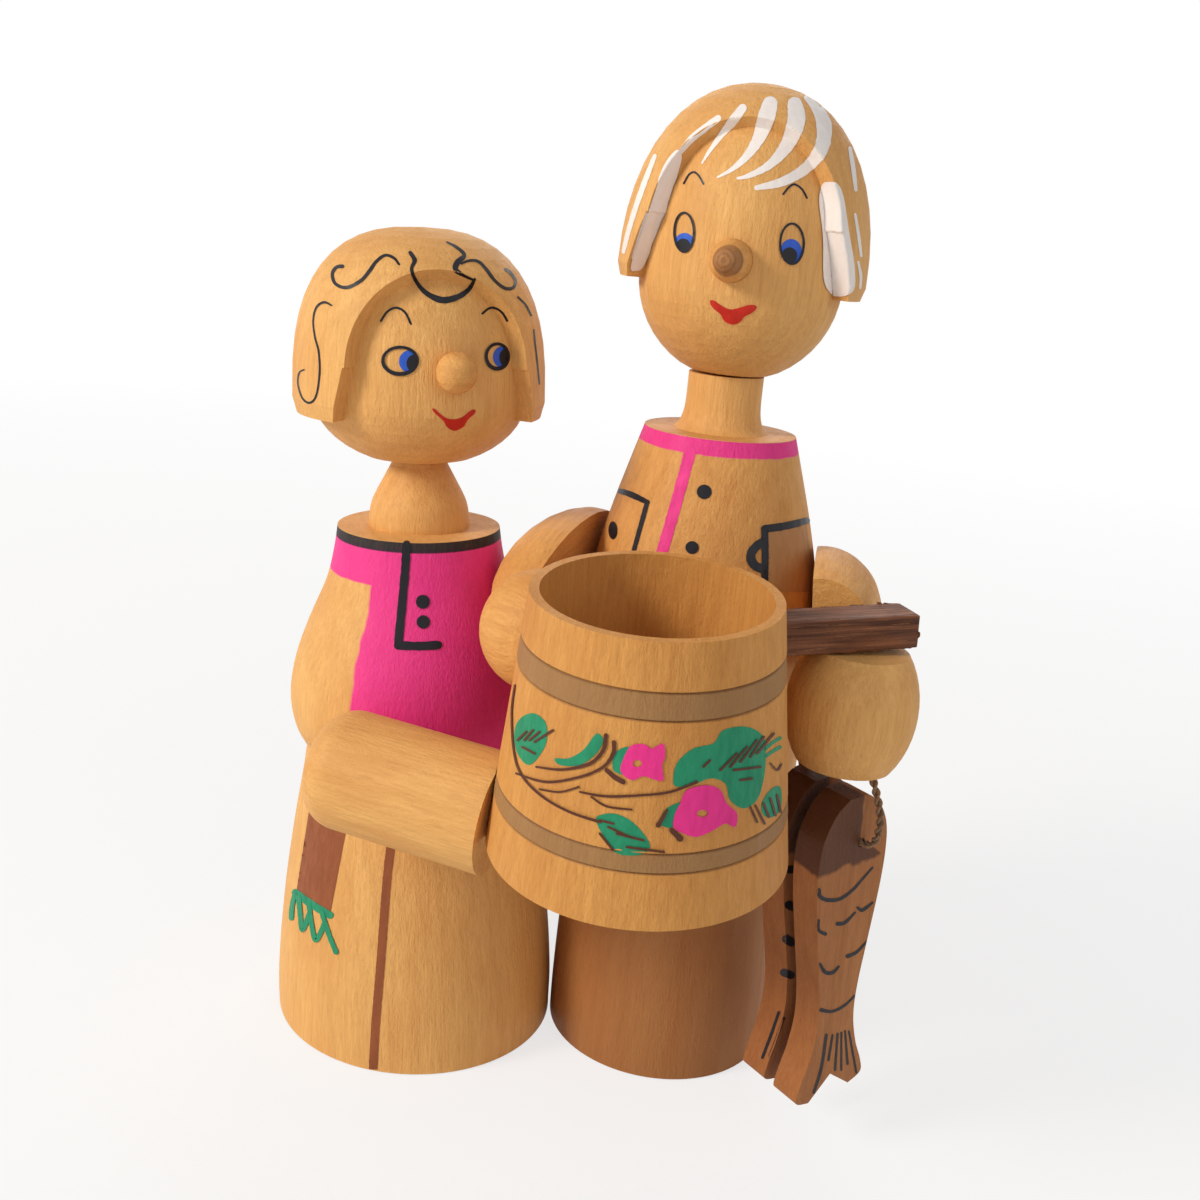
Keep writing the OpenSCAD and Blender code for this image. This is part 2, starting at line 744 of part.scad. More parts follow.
module barrel() {
    function wall_r(s) = barrel_bottom_r - (barrel_bottom_r - barrel_top_r) * s;
    scribes = [for (s = scribe_shares) for (k = [-1:1])
        [wall_r(s) - (1 - abs(k)) * scribe_depth, barrel_h * s + k * scribe_depth]];
    color("sandybrown")
        difference() {
            on_barrel()
                difference() {
                    turned(concat([[barrel_bottom_r, 0]], scribes, [[barrel_top_r, barrel_h]]));
                    translate([0, 0, barrel_floor])
                        cylinder(h = barrel_h, r = barrel_bore_r);
                }
            peg_hole(1);
            peg_hole(2);
        }
}

module barrel_handle() {
    span = norm(fist_mid - barrel_axis(fist_top_z));
    color("saddlebrown")
        difference() {
            translate(at_height(fist_mid, fist_top_z + seat_gap))
                rotate([0, 0, stick_turn])
                    translate([-fist_flat_r, -stick_w / 2, 0])
                        rotate([0, -stick_rise, 0])
                            translate([fist_flat_r - span, 0, 0])
                                cube([span + stick_reach, stick_w, stick_h]);
            barrel_block(seat_gap);
            past_barrel();
        }
}

// Everything past the middle of the barrel, seen from the fist
module past_barrel() {
    translate(at_height(barrel_axis(fist_top_z), 0))
        rotate([0, 0, stick_turn])
            mirror([1, 0, 0])
                beyond(barrel_h * 2);
}

module fish(mid) {
    other = [for (i = [len(fish_side) - 1:-1:0]) [-fish_side[i][0], fish_side[i][1]]];
    translate(at_height(mid, gill_z))
        rotate([90, 0, fish_turn])
            difference() {
                rotate([0, 0, fish_lean])
                    translate([-gill_side, -gill_h, 0])
                        linear_extrude(fish_t, center = true)
                            polygon(concat([[0, fish_len * fork_share]], fish_side, other));
                cylinder(h = fish_t + 2 * over, r = gill_r, center = true);
            }
}

module front_fish() {
    color("peru")
        fish(front_mid);
}

module rear_fish() {
    color("peru")
        fish(rear_mid);
}

// Holes in the fist that take the string's two ends
module string_ends() {
    for (side = [-1, 1])
        translate(at_height(fist_mid + fish_face * side * string_hole_at, fist_top_z - fist_h - over))
            cylinder(h = string_deep + glue_gap + over, r = string_r + glue_gap);
}

function string_point(p) = at_height(fist_mid + fish_face * p[0], gill_z + p[1]);
string_route = smooth_line(concat(
    [for (i = [len(string_side) - 1:-1:1]) string_point(string_side[i])],
    [for (p = string_side) string_point([-p[0], p[1]])]), string_steps);

// One tube swept along a route that lies in an upright plane
module swept_tube(route, r, sides, across) {
    last = len(route) - 1;
    along = [for (i = [0:last]) let (t = route[min(i + 1, last)] - route[max(i - 1, 0)]) t / norm(t)];
    rings = [for (i = [0:last]) for (k = [0:sides - 1]) let (a = 360 * (k + 0.5) / sides)
        route[i] + r * (cos(a) * across + sin(a) * cross(along[i], across))];
    walls = [for (i = [0:last - 1]) for (k = [0:sides - 1]) let (n = (k + 1) % sides)
        [i * sides + k, i * sides + n, (i + 1) * sides + n, (i + 1) * sides + k]];
    ends = [[for (k = [sides - 1:-1:0]) k], [for (k = [0:sides - 1]) last * sides + k]];
    polyhedron(concat(rings), concat(walls, ends));
}

module fish_string() {
    color("gray")
        swept_tube(string_route, string_r, string_sides, at_height(fish_dir, 0));
}

girl_body();
girl_neck();
girl_neck_dowel();
girl_head();
girl_nose();
girl_arm();
boy_body();
boy_neck();
boy_neck_dowel();
boy_head();
boy_nose();
boy_right_upper_arm();
boy_right_hand();
boy_left_upper_arm();
boy_left_fist();
joining_pegs();
barrel();
barrel_handle();
front_fish();
rear_fish();
fish_string();
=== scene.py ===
import json
import math

import bpy
from mathutils import Euler, Matrix, Vector, noise
from mathutils.bvhtree import BVHTree
from mathutils.geometry import delaunay_2d_cdt

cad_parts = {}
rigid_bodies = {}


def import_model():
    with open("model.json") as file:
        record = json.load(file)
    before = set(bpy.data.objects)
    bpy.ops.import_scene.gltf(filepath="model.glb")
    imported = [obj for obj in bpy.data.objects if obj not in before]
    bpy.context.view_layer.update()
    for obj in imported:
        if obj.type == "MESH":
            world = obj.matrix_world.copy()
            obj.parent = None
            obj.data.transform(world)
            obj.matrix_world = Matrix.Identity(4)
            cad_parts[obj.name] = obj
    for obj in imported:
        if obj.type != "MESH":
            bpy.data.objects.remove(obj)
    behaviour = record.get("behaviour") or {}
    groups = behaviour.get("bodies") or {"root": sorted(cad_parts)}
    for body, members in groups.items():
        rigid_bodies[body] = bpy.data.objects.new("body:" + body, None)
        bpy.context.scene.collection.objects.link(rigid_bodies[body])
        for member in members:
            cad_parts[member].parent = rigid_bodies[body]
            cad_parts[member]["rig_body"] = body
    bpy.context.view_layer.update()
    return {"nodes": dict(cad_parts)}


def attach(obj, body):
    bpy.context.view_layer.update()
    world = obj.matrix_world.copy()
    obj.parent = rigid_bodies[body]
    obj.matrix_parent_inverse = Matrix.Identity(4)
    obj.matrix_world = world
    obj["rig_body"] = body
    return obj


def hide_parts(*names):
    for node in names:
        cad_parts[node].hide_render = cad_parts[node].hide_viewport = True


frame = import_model()
nodes = frame["nodes"]
MM = 0.001

# The camera, where the photograph was taken from
PHOTO_SIDE = 1200
PHOTO_HALF = PHOTO_SIDE / 2
FOCAL_PX = 1300
SENSOR_MM = 36
CLIP_START = 0.01
CAMERA_AT = Vector((26.68, -198.03, 130.18)) * MM
CAMERA_YAW = math.radians(-0.56)
CAMERA_PITCH = math.radians(15.86)
CAMERA_ROLL = math.radians(5.98)

forward = Vector((math.sin(CAMERA_YAW) * math.cos(CAMERA_PITCH),
                  math.cos(CAMERA_YAW) * math.cos(CAMERA_PITCH), -math.sin(CAMERA_PITCH)))
level = Vector((math.cos(CAMERA_YAW), -math.sin(CAMERA_YAW), 0))
upright = level.cross(forward)
cam_x = math.cos(CAMERA_ROLL) * level + math.sin(CAMERA_ROLL) * upright
cam_y = -math.sin(CAMERA_ROLL) * level + math.cos(CAMERA_ROLL) * upright

camera_data = bpy.data.cameras.new("camera")
camera_data.sensor_width = SENSOR_MM
camera_data.lens = FOCAL_PX * SENSOR_MM / PHOTO_SIDE
camera_data.clip_start = CLIP_START
camera = bpy.data.objects.new("camera", camera_data)
bpy.context.scene.collection.objects.link(camera)
camera_turn = Matrix((cam_x, cam_y, -forward)).transposed()
camera.matrix_world = Matrix.Translation(CAMERA_AT) @ camera_turn.to_4x4()
bpy.context.scene.camera = camera


def photo_ray(px, py):
    return (forward + cam_x * (px - PHOTO_HALF) / FOCAL_PX
            - cam_y * (py - PHOTO_HALF) / FOCAL_PX).normalized()


# Lines through points, and meshes
def catmull(a, b, c, d, t):
    return (2 * b + (c - a) * t + (2 * a - 5 * b + 4 * c - d) * t ** 2
            + (3 * b - a - 3 * c + d) * t ** 3) / 2


def smooth_line(pts, steps):
    last = len(pts) - 1
    line = [catmull(pts[max(i - 1, 0)], pts[i], pts[i + 1], pts[min(i + 2, last)], k / steps)
            for i in range(last) for k in range(steps)]
    return line + [pts[last]]


def evenly(line, step, length):
    """Points that lie step apart on a line, by the measure length(a, b)."""
    even, run = [line[0]], 0.0
    for a, b in zip(line, line[1:]):
        gap = length(a, b)
        while gap > 0 and run + gap >= step:
            a = a.lerp(b, (step - run) / gap)
            even.append(a.copy())
            gap = length(a, b)
            run = 0.0
        run += gap
    return even


def link_mesh(name, verts, faces, material):
    mesh = bpy.data.meshes.new(name)
    mesh.from_pydata([tuple(v) for v in verts], [], faces)
    mesh.update()
    for p in mesh.polygons:
        p.use_smooth = True
    mesh.materials.append(material)
    obj = bpy.data.objects.new(name, mesh)
    bpy.context.scene.collection.objects.link(obj)
    return obj


# Materials. Colours are written as they look, from 0 to 255
def colour(r, g, b):
    def linear(v):
        v /= 255
        return v / 12.92 if v <= 0.04045 else ((v + 0.055) / 1.055) ** 2.4
    return (linear(r), linear(g), linear(b), 1)


def toned(tint, times, plus=0.0):
    """A colour times one factor, or times one for each channel, and plus a little of each."""
    factors = times if isinstance(times, tuple) else (times,) * 3
    return tuple(min(1, c * k + plus) for c, k in zip(tint, factors)) + (1,)


class Shader:
    def __init__(self, name):
        self.material = bpy.data.materials.new(name)
        self.material.use_nodes = True
        self.tree = self.material.node_tree
        self.tree.nodes.clear()
        self.out = self.add("ShaderNodeOutputMaterial")
        self.surface = self.add("ShaderNodeBsdfPrincipled")
        self.put(self.out.inputs[0], self.surface.outputs[0])

    def add(self, kind):
        return self.tree.nodes.new(kind)

    def put(self, socket, value):
        if isinstance(value, bpy.types.NodeSocket):
            self.tree.links.new(value, socket)
        elif value is not None:
            socket.default_value = value

    def set(self, looks):
        """Gives the surface's inputs, by their names, a value or a socket each."""
        for name, value in looks.items():
            self.put(self.surface.inputs[name], value)

    def math(self, operation, a, b=None, clamp=False):
        n = self.add("ShaderNodeMath")
        n.operation = operation
        n.use_clamp = clamp
        self.put(n.inputs[0], a)
        self.put(n.inputs[1], b)
        return n.outputs[0]

    def times(self, a, b):
        return self.math("MULTIPLY", a, b)

    def highest(self, *values):
        top = values[0]
        for v in values[1:]:
            top = self.math("MAXIMUM", top, v)
        return top

    def radius(self, x, y):
        return self.math("SQRT", self.math("ADD", self.math("POWER", x, 2),
                                           self.math("POWER", y, 2)))

    def local(self, at=(0, 0, 0), rotation=(0, 0, 0), source=None):
        n = self.add("ShaderNodeMapping")
        n.vector_type = "TEXTURE"
        if source is None:
            source = self.add("ShaderNodeTexCoord").outputs["Object"]
        self.put(n.inputs["Vector"], source)
        n.inputs["Location"].default_value = at
        n.inputs["Rotation"].default_value = rotation
        return n.outputs[0]

    def split(self, vector):
        n = self.add("ShaderNodeSeparateXYZ")
        self.put(n.inputs[0], vector)
        return n.outputs[0], n.outputs[1], n.outputs[2]

    def noise(self, vector, stretch, detail=2.0, rough=0.5):
        n = self.add("ShaderNodeTexNoise")
        scaled = self.add("ShaderNodeVectorMath")
        scaled.operation = "MULTIPLY"
        self.put(scaled.inputs[0], vector)
        scaled.inputs[1].default_value = stretch
        self.put(n.inputs["Vector"], scaled.outputs[0])
        n.inputs["Scale"].default_value = 1
        n.inputs["Detail"].default_value = detail
        n.inputs["Roughness"].default_value = rough
        return n.outputs[0]

    def wobble(self, frequency):
        """Noise from -0.5 to 0.5, for edges painted by hand."""
        return self.math("SUBTRACT", self.noise(self.local(), (frequency,) * 3), 0.5)

    def shifted(self, value, wobble, reach):
        return self.math("ADD", value, self.times(wobble, reach))

    def step(self, value, low, high, to_low=0.0, to_high=1.0):
        n = self.add("ShaderNodeMapRange")
        self.put(n.inputs["Value"], value)
        n.inputs["From Min"].default_value = low
        n.inputs["From Max"].default_value = high
        n.inputs["To Min"].default_value = to_low
        n.inputs["To Max"].default_value = to_high
        return n.outputs[0]

    def above(self, value, edge, soft):
        return self.step(value, edge - soft, edge + soft)

    def below(self, value, edge, soft):
        return self.step(value, edge - soft, edge + soft, 1, 0)

    def between(self, value, low, high, soft):
        return self.times(self.above(value, low, soft), self.below(value, high, soft))

    def mix(self, share, a, b):
        n = self.add("ShaderNodeMix")
        n.data_type = "RGBA"
        self.put(n.inputs[0], share)
        self.put(n.inputs[6], a)
        self.put(n.inputs[7], b)
        return n.outputs[2]

    def bump(self, height, distance, strength, under=None):
        n = self.add("ShaderNodeBump")
        n.inputs["Strength"].default_value = strength
        n.inputs["Distance"].default_value = distance
        self.put(n.inputs["Height"], height)
        self.put(n.inputs["Normal"], under)
        return n.outputs[0]


# Wood. Its frequencies are per metre, twice across the grain and then along it
PITH_AWAY = 0.026
PITH_TILT = (0.07, 0.11, 0)
RING_LOOK = {"Scale": 150, "Distortion": 1.6, "Detail": 2, "Detail Scale": 0.35,
             "Detail Roughness": 0.45}
FIBRE, STREAK, BLOTCH = (1900, 1900, 150), (420, 420, 12), (70, 70, 38)
PORE, FUZZ, LATHE = (4200, 4200, 260), (2400, 2400, 1100), (14, 14, 1500)
FIBRE_DEPTH, FUZZ_DEPTH, LATHE_DEPTH, PAINT_DEPTH = 0.00018, 0.00017, 0.00003, 0.00004
WOOD_ROUGH = 0.58


def year_rings(s, place, pith):
    n = s.add("ShaderNodeTexWave")
    n.wave_type = "RINGS"
    n.rings_direction = "Z"
    middle = (pith[0] * PITH_AWAY, pith[1] * PITH_AWAY, 0)
    s.put(n.inputs["Vector"], s.local(middle, PITH_TILT, place))
    for name, value in RING_LOOK.items():
        n.inputs[name].default_value = value
    return n.outputs[1]


def bare_wood(s, place, fibre, streak, light, dark, pith, figure):
    rings = s.times(s.step(year_rings(s, place, pith), 0.35, 1.0), 0.26 * figure)
    streaks = s.times(s.step(streak, 0.36, 0.7), 0.5 * figure)
    base = s.mix(s.math("ADD", rings, streaks, clamp=True), light, dark)
    base = s.mix(s.step(fibre, 0.42, 0.7, 0, 0.36), base, dark)
    base = s.mix(s.step(fibre, 0.28, 0.44, 0.2, 0), base, toned(light, 1.12, 0.015))
    pores = s.times(s.step(s.noise(place, PORE, 1), 0.58, 0.7), 0.2)
    base = s.mix(pores, base, toned(dark, (0.8, 0.68, 0.56)))
    warmth = s.step(s.noise(place, BLOTCH), 0.42, 0.72, 0, 0.36)
    return s.mix(warmth, base, toned(dark, (1.05, 0.86, 0.66)))


def with_paint(s, base, zones, fibre, streak):
    """The wood's colour under its painted zones, and a mask of all the paint."""
    all_paint = []
    for mask, tint, cover in zones:
        worn = s.times(mask, s.step(fibre, 0.3, 0.75, 1, 1 - 0.16 * (1 - cover) - 0.04))
        shade = s.mix(s.step(streak, 0.3, 0.7, 0, 0.22), tint, toned(tint, 0.72))
        base = s.mix(worn if cover > 0.9 else s.times(worn, cover), base, shade)
        all_paint.append(s.times(mask, cover))
    return base, s.highest(*all_paint)


def wood(name, light, dark, at=(0, 0, 0), rotation=(0, 0, 0), pith=(1, 0.6), turned=True,
         figure=0.42, zones=None, fuzz=1.0):
    """Turned or sawn wood whose grain runs along its own z axis. A higher figure makes the grain
    plainer and a higher fuzz the surface rougher. zones(s, x, y, h) gives the painted areas as a
    list of (mask, colour, share of the wood's figure that is covered)."""
    s = Shader(name)
    place = s.local(at, rotation)
    fibre = s.noise(place, FIBRE, 4, 0.7)
    streak = s.noise(place, STREAK, 3, 0.6)
    base = bare_wood(s, place, fibre, streak, light, dark, pith, figure)
    relief = s.bump(fibre, FIBRE_DEPTH * fuzz, 0.8)
    relief = s.bump(s.noise(place, FUZZ, 3, 0.7), FUZZ_DEPTH * fuzz, 0.8, relief)
    if turned:
        relief = s.bump(s.noise(place, LATHE, 1, 0.4), LATHE_DEPTH, 0.4, relief)
    if zones:
        base, all_paint = with_paint(s, base, zones(s, *s.split(place)), fibre, streak)
        relief = s.bump(all_paint, PAINT_DEPTH, 0.5, relief)
    rough = s.step(streak, 0.3, 0.7, WOOD_ROUGH - 0.05, WOOD_ROUGH + 0.1)
    s.set({"Base Color": base, "Roughness": rough, "Coat Weight": 0.03, "Coat Roughness": 0.32,
           "Specular IOR Level": 0.3, "Normal": relief})
    return s.material


BRUSH, SPECK = (900, 900, 260), (2600, 2600, 900)
BRUSH_DEPTH, SPECK_DEPTH = 0.00008, 0.00005


def paint(name, tint, rough, vary, grain):
    s = Shader(name)
    place = s.local()
    brush = s.noise(place, BRUSH, 3, 0.6)
    speck = s.noise(place, SPECK)
    base = s.mix(s.step(brush, 0.35, 0.75, 0, 0.8), tint, toned(tint, 1 - 2.4 * vary))
    base = s.mix(s.step(speck, 0.62, 0.78, 0, grain), base, toned(tint, 1, 0.05))
    s.set({"Base Color": base, "Roughness": s.step(brush, 0.3, 0.7, rough - 0.06, rough + 0.12),
           "Specular IOR Level": 0.24,
           "Normal": s.bump(speck, SPECK_DEPTH, 0.5, s.bump(brush, BRUSH_DEPTH, 0.5))})
    return s.material


LIME = colour(235, 180, 107), colour(196, 136, 72)
GOLD = colour(229, 169, 95), colour(186, 120, 58)
BARREL_WOOD = colour(216, 154, 80), colour(174, 112, 50)
FRONT_FISH_WOOD = colour(180, 116, 62), colour(132, 78, 40)
REAR_FISH_WOOD = colour(172, 108, 56), colour(124, 72, 36)
DOWEL_WOOD = colour(196, 140, 80), colour(150, 94, 48)
PINK = colour(238, 52, 142)
BLACK = colour(25, 24, 31)
BAND = colour(136, 104, 70)
SCRIBE = colour(110, 70, 38)
TROUSERS = colour(140, 80, 42)
HEAD_STAIN = colour(66, 28, 10)
NOSE_TIP, NOSE_RING = colour(148, 98, 60), colour(104, 64, 38)

# The painted zones of each piece, by heights along its own axis, in metres
WAIST_H, CAP_SLEEVE_H, COLLAR_H, SHOULDER_H = 0.0474, 0.0765, 0.0816, 0.08312
RIGHT_ARM_FROM, RIGHT_ARM_TO = math.radians(-112), math.radians(-20.5)
CLOTH_OVERLAP, CLOTH_SOFT, CLOTH_TURN_SOFT = 0.0005, 0.00012, 0.012
COLLAR_SOFT, SHOULDER_SOFT = 0.00008, 0.00004
GIRL_WOBBLE, GIRL_EDGE_REACH, GIRL_TURN_REACH = 260, 0.0007, 0.07


def girl_zones(s, x, y, h):
    wobble = s.wobble(GIRL_WOBBLE)
    turn = s.math("ARCTAN2", x, s.times(y, -1))
    hand_h = s.shifted(h, wobble, GIRL_EDGE_REACH)
    cloth = s.between(hand_h, WAIST_H, COLLAR_H + CLOTH_OVERLAP, CLOTH_SOFT)
    hand_turn = s.shifted(turn, wobble, GIRL_TURN_REACH)
    arm = s.between(hand_turn, RIGHT_ARM_FROM, RIGHT_ARM_TO, CLOTH_TURN_SOFT)
    bare = s.times(arm, s.below(hand_h, CAP_SLEEVE_H, CLOTH_SOFT))
    ring = s.times(s.above(h, COLLAR_H, COLLAR_SOFT),
                   s.step(h, SHOULDER_H, SHOULDER_H + SHOULDER_SOFT, 1, 0))
    return [(s.times(cloth, s.math("SUBTRACT", 1, bare)), PINK, 0.97), (ring, BLACK, 0.98)]


HEM_H, BOY_COLLAR_H, BOY_SHOULDER_H = 0.0405, 0.1003, 0.10252
HEM_SOFT, BOY_COLLAR_SOFT = 0.0002, 0.0001
BOY_WOBBLE, BOY_EDGE_REACH = 300, 0.0005


def boy_zones(s, x, y, h):
    hand_h = s.shifted(h, s.wobble(BOY_WOBBLE), BOY_EDGE_REACH)
    band = s.times(s.above(hand_h, BOY_COLLAR_H, BOY_COLLAR_SOFT),
                   s.step(h, BOY_SHOULDER_H, BOY_SHOULDER_H + SHOULDER_SOFT, 1, 0))
    return [(s.below(hand_h, HEM_H, HEM_SOFT), TROUSERS, 0.76), (band, PINK, 0.97)]


BARREL_H, BORE_R, BORE_SOFT = 0.0362, 0.0153, 0.0002
LOWER_BAND, UPPER_BAND = (0.205, 0.275), (0.735, 0.83)
BAND_SOFT, SCRIBE_HALF, SCRIBE_SOFT = 0.00008, 0.00014, 0.0001


def barrel_zones(s, x, y, h):
    outside = s.step(s.radius(x, y), BORE_R, BORE_R + BORE_SOFT)
    bands = s.highest(*[s.between(h, low * BARREL_H, high * BARREL_H, BAND_SOFT)
                        for low, high in (LOWER_BAND, UPPER_BAND)])
    scribes = s.highest(*[s.between(h, share * BARREL_H - SCRIBE_HALF,
                                    share * BARREL_H + SCRIBE_HALF,
                                    SCRIBE_SOFT) for share in LOWER_BAND + UPPER_BAND])
    return [(s.times(bands, outside), BAND, 0.74), (s.times(scribes, outside), SCRIBE, 0.7)]


STAIN_EDGE_H, STAIN_SOFT = -0.0030, 0.0003
BARE_SIDE_X, BARE_SIDE_H, BARE_SLANT, BARE_SOFT = -0.0004, 0.0010, 1.2, 0.0002
FISH_WOBBLE, STAIN_REACH, BARE_REACH = 330, 0.0022, 0.001


def fish_zones(s, x, y, h):
    wobble = s.wobble(FISH_WOBBLE)
    head = s.above(s.shifted(h, wobble, STAIN_REACH), STAIN_EDGE_H, STAIN_SOFT)
    under = s.math("MAXIMUM", s.math("SUBTRACT", BARE_SIDE_H, h), 0.0)
    hand_x = s.shifted(x, wobble, BARE_REACH)
    slanted_x = s.math("SUBTRACT", hand_x, s.times(under, BARE_SLANT))
    bare = s.above(slanted_x, BARE_SIDE_X, BARE_SOFT)
    return [(s.times(head, s.math("SUBTRACT", 1, bare)), HEAD_STAIN, 0.88)]


NOSE_TIP_H, NOSE_TIP_SOFT, NOSE_RINGS = 0.0187, 0.0002, 9000
NOSE_WOBBLE, NOSE_TIP_REACH, NOSE_RING_REACH = 600, 0.0006, 0.0005


def nose_zones(s, x, y, h):
    wobble = s.wobble(NOSE_WOBBLE)
    tip = s.above(s.shifted(h, wobble, NOSE_TIP_REACH), NOSE_TIP_H, NOSE_TIP_SOFT)
    hand_radius = s.shifted(s.radius(x, y), wobble, NOSE_RING_REACH)
    rings = s.math("SINE", s.times(hand_radius, NOSE_RINGS))
    return [(tip, NOSE_TIP, 0.8), (s.times(tip, s.step(rings, 0.1, 0.8)), NOSE_RING, 0.36)]


# Where the grain of each piece is laid from, in metres, and how it is turned, in degrees
GIRL_AXIS = (0, math.radians(-3.2), 0)
BOY_AXIS = (0, math.radians(-0.8), 0)
BOY_AT = Vector((41.775, 1.459, 0)) * MM
BARREL_AT = Vector((33.5, -36.80, 51)) * MM
BARREL_AXIS = (math.radians(5), math.radians(-2), 0)
GIRL_ARM_AT, GIRL_ARM_TILT, GIRL_ARM_SWING = (0, -0.028, 0.0534), -86, -15
RIGHT_ARM_AT, RIGHT_BEARING, SHIRT_SLOPE, RIGHT_ARM_DROOP = (0.02, 0, 0.078), 161, 6.5, 80
HAND_AT, HAND_BEARING = (0.016, -0.022, 0.0756), 137
LEFT_ARM_AT, LEFT_BEARING = (0.06, -0.01, 0.078), -9
BOY_NOSE_AT = BOY_AT + Vector((-0.0016, 0, 0.1278))
GIRL_NOSE_TURN, BOY_NOSE_TURN = 26, -10
FIST_MID = Vector((61.575, -25.541, 0)) * MM
FIST_TOP, FIST_H, FIST_FLAT_R = 78.2 * MM, 16.8 * MM, 6.8 * MM
FISH_TURN, FISH_LEAN = 38, 4.84
FISH_T, FISH_GAP, FISH_DROP, GILL_DROP = 4.8 * MM, 2.0 * MM, 2.6 * MM, 7.5 * MM


def bearing(degrees):
    return Vector((math.cos(math.radians(degrees)), math.sin(math.radians(degrees)), 0))


def turned_axis(*turns):
    """The turns in degrees, each an (x, y, z) as the source gives them, the outer one first."""
    m = Matrix.Identity(3)
    for t in turns:
        m = m @ Euler([math.radians(a) for a in t], "XYZ").to_matrix()
    return tuple(m.to_euler("XYZ"))


fish_face, fish_across = bearing(FISH_TURN - 90), bearing(FISH_TURN)
fish_axis = turned_axis((0, 0, FISH_TURN), (0, -FISH_LEAN, 0))
fish_apart = fish_face * (FISH_T + FISH_GAP) / 2
gill_mid = FIST_MID + Vector((0, 0, FIST_TOP - FIST_H - FISH_DROP - GILL_DROP))
right_arm_axis = turned_axis((0, -SHIRT_SLOPE, RIGHT_BEARING), (RIGHT_ARM_DROOP, 0, 0))
dress = {
    "girl_body": wood("girl_body_wood", *LIME, rotation=GIRL_AXIS, pith=(0.9, 0.7),
                      zones=girl_zones),
    "girl_neck": wood("girl_neck_wood", *LIME, rotation=GIRL_AXIS, pith=(-0.8, 0.6)),
    "girl_head": wood("girl_head_wood", *LIME, rotation=GIRL_AXIS, pith=(-0.5, 1.0), fuzz=1.2),
    "girl_nose": wood("girl_nose_wood", *GOLD, rotation=turned_axis((90, 0, GIRL_NOSE_TURN)),
                      pith=(0.02, 0.03), figure=0.6),
    "girl_arm": wood("girl_arm_wood", *LIME, at=GIRL_ARM_AT,
                     rotation=turned_axis((0, GIRL_ARM_TILT, GIRL_ARM_SWING)), pith=(-0.5, 0.9)),
    "boy_body": wood("boy_body_wood", *GOLD, at=BOY_AT, rotation=BOY_AXIS,
                     pith=(-1.0, 0.5), zones=boy_zones, fuzz=1.2),
    "boy_neck": wood("boy_neck_wood", *LIME, at=BOY_AT, rotation=BOY_AXIS, pith=(0.6, 0.6)),
    "boy_head": wood("boy_head_wood", *LIME, at=BOY_AT, rotation=BOY_AXIS, pith=(0.4, 1.1),
                     fuzz=1.2),
    "boy_nose": wood("boy_nose_wood", *GOLD, at=BOY_NOSE_AT,
                     rotation=turned_axis((90, 0, BOY_NOSE_TURN)), pith=(0.01, 0.02),
                     zones=nose_zones),
    "boy_right_upper_arm": wood("right_upper_arm_wood", *GOLD, at=RIGHT_ARM_AT,
                                rotation=right_arm_axis),
    "boy_right_hand": wood("right_hand_wood", *GOLD, at=HAND_AT,
                           rotation=turned_axis((0, 90, HAND_BEARING)), pith=(0.7, 0.3)),
    "boy_left_upper_arm": wood("left_upper_arm_wood", *GOLD, at=LEFT_ARM_AT,
                               rotation=turned_axis((0, 90, LEFT_BEARING - 90))),
    "boy_left_fist": wood("left_fist_wood", *LIME, at=FIST_MID, pith=(-0.7, 0.8)),
    "barrel": wood("barrel_wood_bands", *BARREL_WOOD, at=BARREL_AT, rotation=BARREL_AXIS,
                   pith=(0.8, -0.9), zones=barrel_zones),
    "front_fish": wood("front_fish_wood", *FRONT_FISH_WOOD, at=gill_mid + fish_apart,
                       rotation=fish_axis, turned=False, zones=fish_zones),
    "rear_fish": wood("rear_fish_wood", *REAR_FISH_WOOD, at=gill_mid - fish_apart,
                      rotation=fish_axis, turned=False, zones=fish_zones),
}
dowel_look = wood("dowel_look", *DOWEL_WOOD, turned=False)
for name in ("girl_neck_dowel", "boy_neck_dowel", "joining_pegs"):
    dress[name] = dowel_look
for name, material in dress.items():
    data = nodes[name].data
    data.materials.clear()
    data.materials.append(material)
    for p in data.polygons:
        p.material_index = 0

black_paint = paint("black_paint", BLACK, 0.38, 0.12, 0.15)
pink_paint = paint("pink_paint", PINK, 0.5, 0.1, 0.3)
red_paint = paint("red_paint", colour(206, 44, 30), 0.45, 0.14, 0.3)
blue_paint = paint("blue_paint", colour(52, 96, 204), 0.42, 0.12, 0.3)
white_paint = paint("white_paint", colour(245, 236, 231), 0.55, 0.04, 0.2)
green_paint = paint("green_paint", colour(36, 144, 104), 0.5, 0.14, 0.3)
ribbon_paint = paint("ribbon_paint", colour(150, 84, 50), 0.55, 0.12, 0.4)
brown_paint = paint("brown_paint", colour(92, 50, 34), 0.45, 0.12, 0.2)
pocket_paint = paint("pocket_paint", colour(188, 134, 84), 0.55, 0.08, 0.3)


# Painted strokes and patches. Their points are where the strokes are in the photograph, and they
# are laid on the surface of the piece that the camera sees there
LIFT = 0.00006
STROKE_STEP, STROKE_ROW = 0.9, 3
STROKE_WOBBLE, WOBBLE_PACE, WOBBLE_SEED = 0.1, 0.21, 0.37
CURVE_STEPS, LEAST_END = 12, 0.12
EDGE_STEP, FILL_CLEAR_SHARE = 2.5, 0.45
# The layers of paint, and how many points make a stretch of an outline
UNDER, OVER, TOP = 1, 2, 3
CURVED, STRAIGHT = 4, 1
